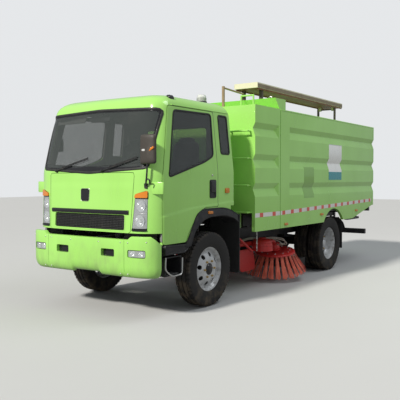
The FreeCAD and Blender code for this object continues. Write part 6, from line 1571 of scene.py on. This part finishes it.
class SWEEPER_OT_board(Builder):
    """Build the roof board's ribbed side trims and its underside, both darkened with painted shade, and its seams"""

    bl_idname = "sweeper.board"
    bl_label = "Roof board"

    def build(self, scene):
        low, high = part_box("roof_board")
        trim, under, seams = Form(), Form(), Form()
        y = np.linspace(low.y + 0.004, high.y - 0.004, 700)
        rib = 0.0036 + 0.0014 * np.sign(np.sin(2 * math.pi * y / 0.03))
        for x, out in ((low.x, -1), (high.x, 1)):
            ring = [np.stack([x + 0 * y - out * 0.001, y, 0 * y + z], -1) for z in (3.206, 3.146)]
            face = [np.stack([x + out * rib, y, 0 * y + z], -1) for z in (3.146, 3.206)]
            trim.bar(np.stack(ring + face, 1))
        # The side trims are painted the darker brown as shade on the board's side.
        piece("board_trims", trim, "board_trim", "board")
        under.box((low.x + 0.006, low.y + 0.05, 3.131), (high.x - 0.006, high.y - 0.006, 3.1395), 0.002)
        for x in (low.x + 0.02, high.x - 0.02):
            under.box((x - 0.014, low.y + 0.03, 3.118), (x + 0.014, high.y - 0.01, 3.132), 0.003)
        # The underside plate and its rails take the painted-shade brown.
        piece("board_underside", under, "board_under", "board")
        for y in (low.y + 1.18, low.y + 2.36):
            seams.box((low.x + 0.002, y - 0.0035, high.z - 0.0005), (high.x - 0.002, y + 0.0035, high.z + 0.0012),
                      0.0004)
        piece("board_seams", seams, "board_trim", "board")


def brush_strips(sizes, seed):
    """Flat bristles in tufts: each leaves the disc's rim and flares out as s to the power 1.15.

    The drop grows evenly with s while the radius grows faster, the strips of a tuft fan out sideways
    along s, and each leans and twists a little by its own even random amounts.
    """
    chance = np.random.default_rng(seed)
    count = sizes.tufts * sizes.strips
    index = np.arange(count)[:, None]

    def spread(low, high):
        return chance.uniform(low, high, count)[:, None]

    place = index % sizes.strips - (sizes.strips - 1) / 2
    angle = 2 * math.pi * (index // sizes.strips) / sizes.tufts + spread(-0.004, 0.004)
    s = np.linspace(0, 1, 7)[None]
    fan = place * (0.0125 + 0.0085 * s)
    tip = 0.518 - spread(0.0, 0.03) - 0.001 * place ** 2
    drop = spread(0.3, 0.335)
    lean = spread(-0.012, 0.012)
    root = 0.322 - index % 2 * 0.014
    radius = (root + (tip - root) * s ** 1.15)[..., None]
    theta = angle + fan + lean * s ** 1.6
    outward = np.stack([np.cos(theta), np.sin(theta), 0 * theta], -1)
    sideways = np.stack([-np.sin(theta), np.cos(theta), 0 * theta], -1)
    middle = outward * radius + (-0.014 - drop * s)[..., None] * (0, 0, 1)
    twist = (spread(-0.4, 0.4) * s)[..., None]
    wide = (sizes.strip_width * (0.85 + 0.2 * s) / 2)[..., None]
    flat = sideways * np.cos(twist) + outward * np.sin(twist)
    thick = outward * np.cos(twist) - sideways * np.sin(twist)
    half = sizes.strip_thick / 2
    return np.stack([middle + flat * (wide * a) + thick * (half * b) for a, b in corners(-1, -1, 1, 1)], 2)


def tipped(points, centre, up):
    """Local brush points turned so that their own Z lies along the brush's axis, then set at its centre."""
    up = unit(np.asarray(up, float))
    ahead = unit(np.cross(up, (0.0, 1.0, 0.0)))
    third = np.cross(up, ahead)
    return points[..., :1] * ahead + points[..., 1:2] * third + points[..., 2:] * up + np.asarray(centre)


class SWEEPER_OT_brushes(Builder):
    """Build both disc brushes with their flat bristles, and the motors, guards and plates on the arms"""

    bl_idname = "sweeper.brushes"
    bl_label = "Brushes"

    def build(self, scene):
        sizes = settings("sweeper_brushes")
        centre, up = np.array([0.7, 0.04, 0.48]), np.array([0.0713, -0.1584, 0.9848])
        drum, upright = (0.75, -0.477, 0.53), (0, 0, 1)
        for side, seed in (("left", 5), ("right", 11)):
            disc, bolts, motor, guard, pipes, joints, link = forms = [Form() for _ in range(7)]
            strips = Form().bar(tipped(brush_strips(sizes, seed), centre, up))
            disc.turn(mm((26, 0), (60, 0), (70, -6), (150, -8), (170, 0), (305, 0), (322, -3), (330, -12), (330, -26),
                         (300, -40), (200, -78), (26, -80)), centre, up, 96, closed=True)
            for angle in np.linspace(0, 2 * math.pi, 13)[:-1]:
                local = np.array([[0.245 * math.cos(angle), 0.245 * math.sin(angle), 0.0]])
                bolts.turn(mm((0, 11), (8, 11), (11, 8), (11, -2), (0, -2)), tipped(local, centre, up)[0], up, 6)
            motor.turn(mm((0, 0), (85, 0), (95, 6), (95, 30), (78, 36), (72, 90), (78, 94), (78, 110), (60, 120),
                          (0, 122)), centre + up * 0.012, up, 40)
            guard.turn(mm((0, 205), (60, 205), (66, 190), (110, 186), (140, 172), (158, 140), (166, 60), (169, 0),
                          (162, 0), (158, 60), (150, 132), (134, 162), (106, 176), (0, 178)), drum, upright, 56)
            for z in (0.56, 0.61, 0.655):
                guard.turn(circle(0.0055, 6) + (0.1685 - 0.1 * max(z - 0.6, 0), z - 0.53), drum, upright, 48,
                           closed=True)
            guard.plate(mm((-980, 330), (-860, 215), (-470, 215), (-450, 300), (-520, 560), (-940, 560)), 0.03, 72,
                        flat_map("yz"), mm((2, 596), (0, 598), (0, 604), (2, 606)))
            guard.tube(eased(mm((540, -900, 640), (622, -420, 640), (690, -20, 640), (700, 22, 600)), 0.06, 6,
                             closed=False), 0.036, 14)
            guard.turn(mm((19, 40), (44, 40), (48, 30), (48, -30), (44, -40), (19, -40)), (0.54, -0.9, 0.64), upright,
                       28, closed=True)
            for shift, drop in ((0.0, 0.0), (0.02, 0.012), (-0.018, 0.02)):
                pipes.tube(eased([(0.56 + shift, -0.86, 0.7 - drop), (0.6 + shift, -0.64, 0.735 - drop),
                                  (0.64 + shift, -0.3, 0.7 - drop), (0.668 + shift, -0.04, 0.672 - drop),
                                  (0.676 + shift * 0.6, 0.02, 0.6)], 0.1, 8, closed=False), 0.0085, 8)
            for turn, reach, rise in ((0.3, 0.15, 0.07), (1.1, 0.165, 0.09), (2.1, 0.14, 0.055), (-0.5, 0.175, 0.06)):
                out = np.array([math.cos(turn), math.sin(turn), 0.0])
                port = centre + up * 0.105 + out * 0.06
                joints.turn(mm((0, 26), (12, 26), (12, 10), (16, 10), (16, -12), (0, -12)), port, out, 6)
                pipes.tube(eased([port, port + out * reach, port + out * reach * 0.9 + (0.0, -0.06, rise),
                                  (0.69 + 0.03 * out[0], -0.15, 0.69 + rise * 0.3),
                                  (0.64 + 0.02 * out[1], -0.33, 0.69)], 0.12, 9, closed=False), 0.008, 8)
            link.tube(mm((750, -1247, 815), (750, -990, 665), (750, -796, 552)), 0.02, 12)
            link.box((0.72, -1.29, 0.78), (0.78, -1.21, 0.878), 0.006)
            sided(side, strips, *forms)
            spun, swung = f"disc_{side}", f"arm_{side}"
            piece(f"bristles_{side}", strips, "bristle", spun, [f"brush_{side}"], crease=30.0)
            piece(f"brush_plate_{side}", disc, "brush_red", spun)
            piece(f"brush_bolts_{side}", bolts, "zinc", spun)
            piece(f"brush_motor_{side}", motor, "brush_red", swung, [f"brush_arm_{side}"])
            piece(f"brush_guard_{side}", guard, "brush_red", swung)
            piece(f"brush_pipes_{side}", pipes, "pale_pipe", swung)
            piece(f"pipe_joints_{side}", joints, "zinc", swung)
            piece(f"brush_link_{side}", link, "brush_red", "chassis")


class SWEEPER_OT_tail(Builder):
    """Build the tail door's pressed ribs and catches, and the lens faces of the rear lamps"""

    bl_idname = "sweeper.tail"
    bl_label = "Tail"

    def build(self, scene):
        rib = settings("sweeper_trim").rib
        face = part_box("rear_door")[1].y - 0.006
        ribs = Form()
        for z in (1.32, 1.73, 2.17, 2.56):
            ribs.plate(corners(-0.96, z - rib, 0.96, z + rib), 0.03, 72, flat_map("xz"),
                       [(0, face - 0.01), (0, face), (0.006, face + 0.004), (0.016, face + 0.0055)])
        piece("tail_ribs", ribs, "body_green", "tail_door")
        catch = Form().box((0.655, face - 0.004, 1.165), (0.745, face + 0.004, 1.255), 0.004)
        catch.tube([(0.64, face, 1.208), (0.7, face, 1.205), (0.76, face, 1.208)], 0.005, 8)
        piece("tail_catches", catch.both_sides(), "bare_steel", "tail_door")
        low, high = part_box("rear_lamps")
        outer, width, y = high.x - 0.006, 0.234, high.y
        for name, near, far in (("red", 0.0, 0.45), ("amber", 0.46, 0.76), ("white", 0.77, 1.0)):
            edge = corners(outer - width * far + 0.002, low.z + 0.008, outer - width * near - 0.002, high.z - 0.008)
            lens = Form().plate(edge, 0.008, 36, flat_map("xz"),
                                [(0, y - 0.004), (0, y + 0.006), (0.003, y + 0.01), (0.01, y + 0.012)])
            piece(f"rear_lens_{name}", lens.both_sides(), f"{name}_lens", "hopper")


class SWEEPER_OT_stage(Builder):
    """Set the pale floor, the soft lights and the camera of the photograph"""

    bl_idname = "sweeper.stage"
    bl_label = "Stage"

    def build(self, scene):
        stage = settings("sweeper_stage")
        span = np.linspace(-40.0, 40.0, 3)
        grid = np.stack(np.meshgrid(span, span), -1)
        ground = Form().grid(np.concatenate([grid, np.full(grid.shape[:2] + (1,), -0.001)], -1))
        floor = placed("studio_floor", ground.mesh("studio_floor", turn_out=False))
        floor.data.materials.append(floor_finish("floor", tuple(stage.floor), stage.bounce))
        world = bpy.data.worlds.new("studio")
        world.use_nodes = True
        tree = world.node_tree
        sky, seen = tree.nodes["Background"], tree.nodes.new("ShaderNodeBackground")
        for light, colour, strength in ((sky, (0.9, 0.95, 1.0, 1.0), stage.sky),
                                        (seen, (0.96, 0.98, 1.0, 1.0), stage.backdrop)):
            light.inputs["Color"].default_value = colour
            light.inputs["Strength"].default_value = strength
        seen_apart(tree, sky.outputs["Background"], seen.outputs["Background"], tree.nodes["World Output"])
        scene.world = world
        self.lamp("key", "SUN", (-1.2, -9.0, 7.2), (0.0, -1.0, 1.2), stage.key, 0.1, (1.0, 0.965, 0.9))
        self.lamp("side", "AREA", (4.6, 0.8, 9.0), (0.9, 0.2, 1.4), 190.0, 4.5, (0.93, 0.97, 1.0))
        eye = bpy.data.cameras.new("camera")
        eye.lens = stage.lens
        eye.sensor_width = 36.0
        scene.camera = placed("camera", eye)
        scene.camera.location = (5.503, -8.911, 1.666)
        scene.camera.rotation_euler = (math.pi / 2 - 0.035, 0.0, 0.615)
        scene.view_settings.view_transform = "Standard"

    @staticmethod
    def lamp(name, kind, place, target, strength, size, colour):
        """One light at a place, aimed at a target; its size is an angle for a sun, else a disc's width."""
        data = bpy.data.lights.new(name, kind)
        data.energy = strength
        data.color = colour
        if kind == "SUN":
            data.angle = size
        else:
            data.shape = "DISK"
            data.size = size
        light = placed(name, data)
        light.location = place
        light.rotation_euler = (Vector(target) - Vector(place)).normalized().to_track_quat("-Z", "Y").to_euler()


PIECES = tuple(Builder.__subclasses__())


class SWEEPER_PT_panel(bpy.types.Panel):
    """Panel that lists the settings and the builders"""

    bl_idname = "SWEEPER_PT_panel"
    bl_label = "Street sweeper truck"
    bl_space_type = "VIEW_3D"
    bl_region_type = "UI"
    bl_category = "Sweeper"

    def draw(self, context):
        for name, group in GROUPS.items():
            box = self.layout.box()
            box.label(text=group.__doc__.rstrip("."))
            for setting in group.__annotations__:
                box.prop(getattr(context.scene, name), setting)
        for builder in PIECES:
            self.layout.operator(builder.bl_idname)


def register():
    """Register every class, and hang the settings on the scene."""
    for name, group in GROUPS.items():
        bpy.utils.register_class(group)
        setattr(bpy.types.Scene, name, bpy.props.PointerProperty(type=group))
    for builder in PIECES + (SWEEPER_PT_panel,):
        bpy.utils.register_class(builder)


def unregister():
    """Undo register."""
    for builder in (SWEEPER_PT_panel,) + PIECES[::-1]:
        bpy.utils.unregister_class(builder)
    for name, group in GROUPS.items():
        delattr(bpy.types.Scene, name)
        bpy.utils.unregister_class(group)


def main():
    """Register the classes, then build every piece in order."""
    register()
    for builder in PIECES:
        group, name = builder.bl_idname.split(".")
        getattr(getattr(bpy.ops, group), name)()


if __name__ == "__main__":
    main()
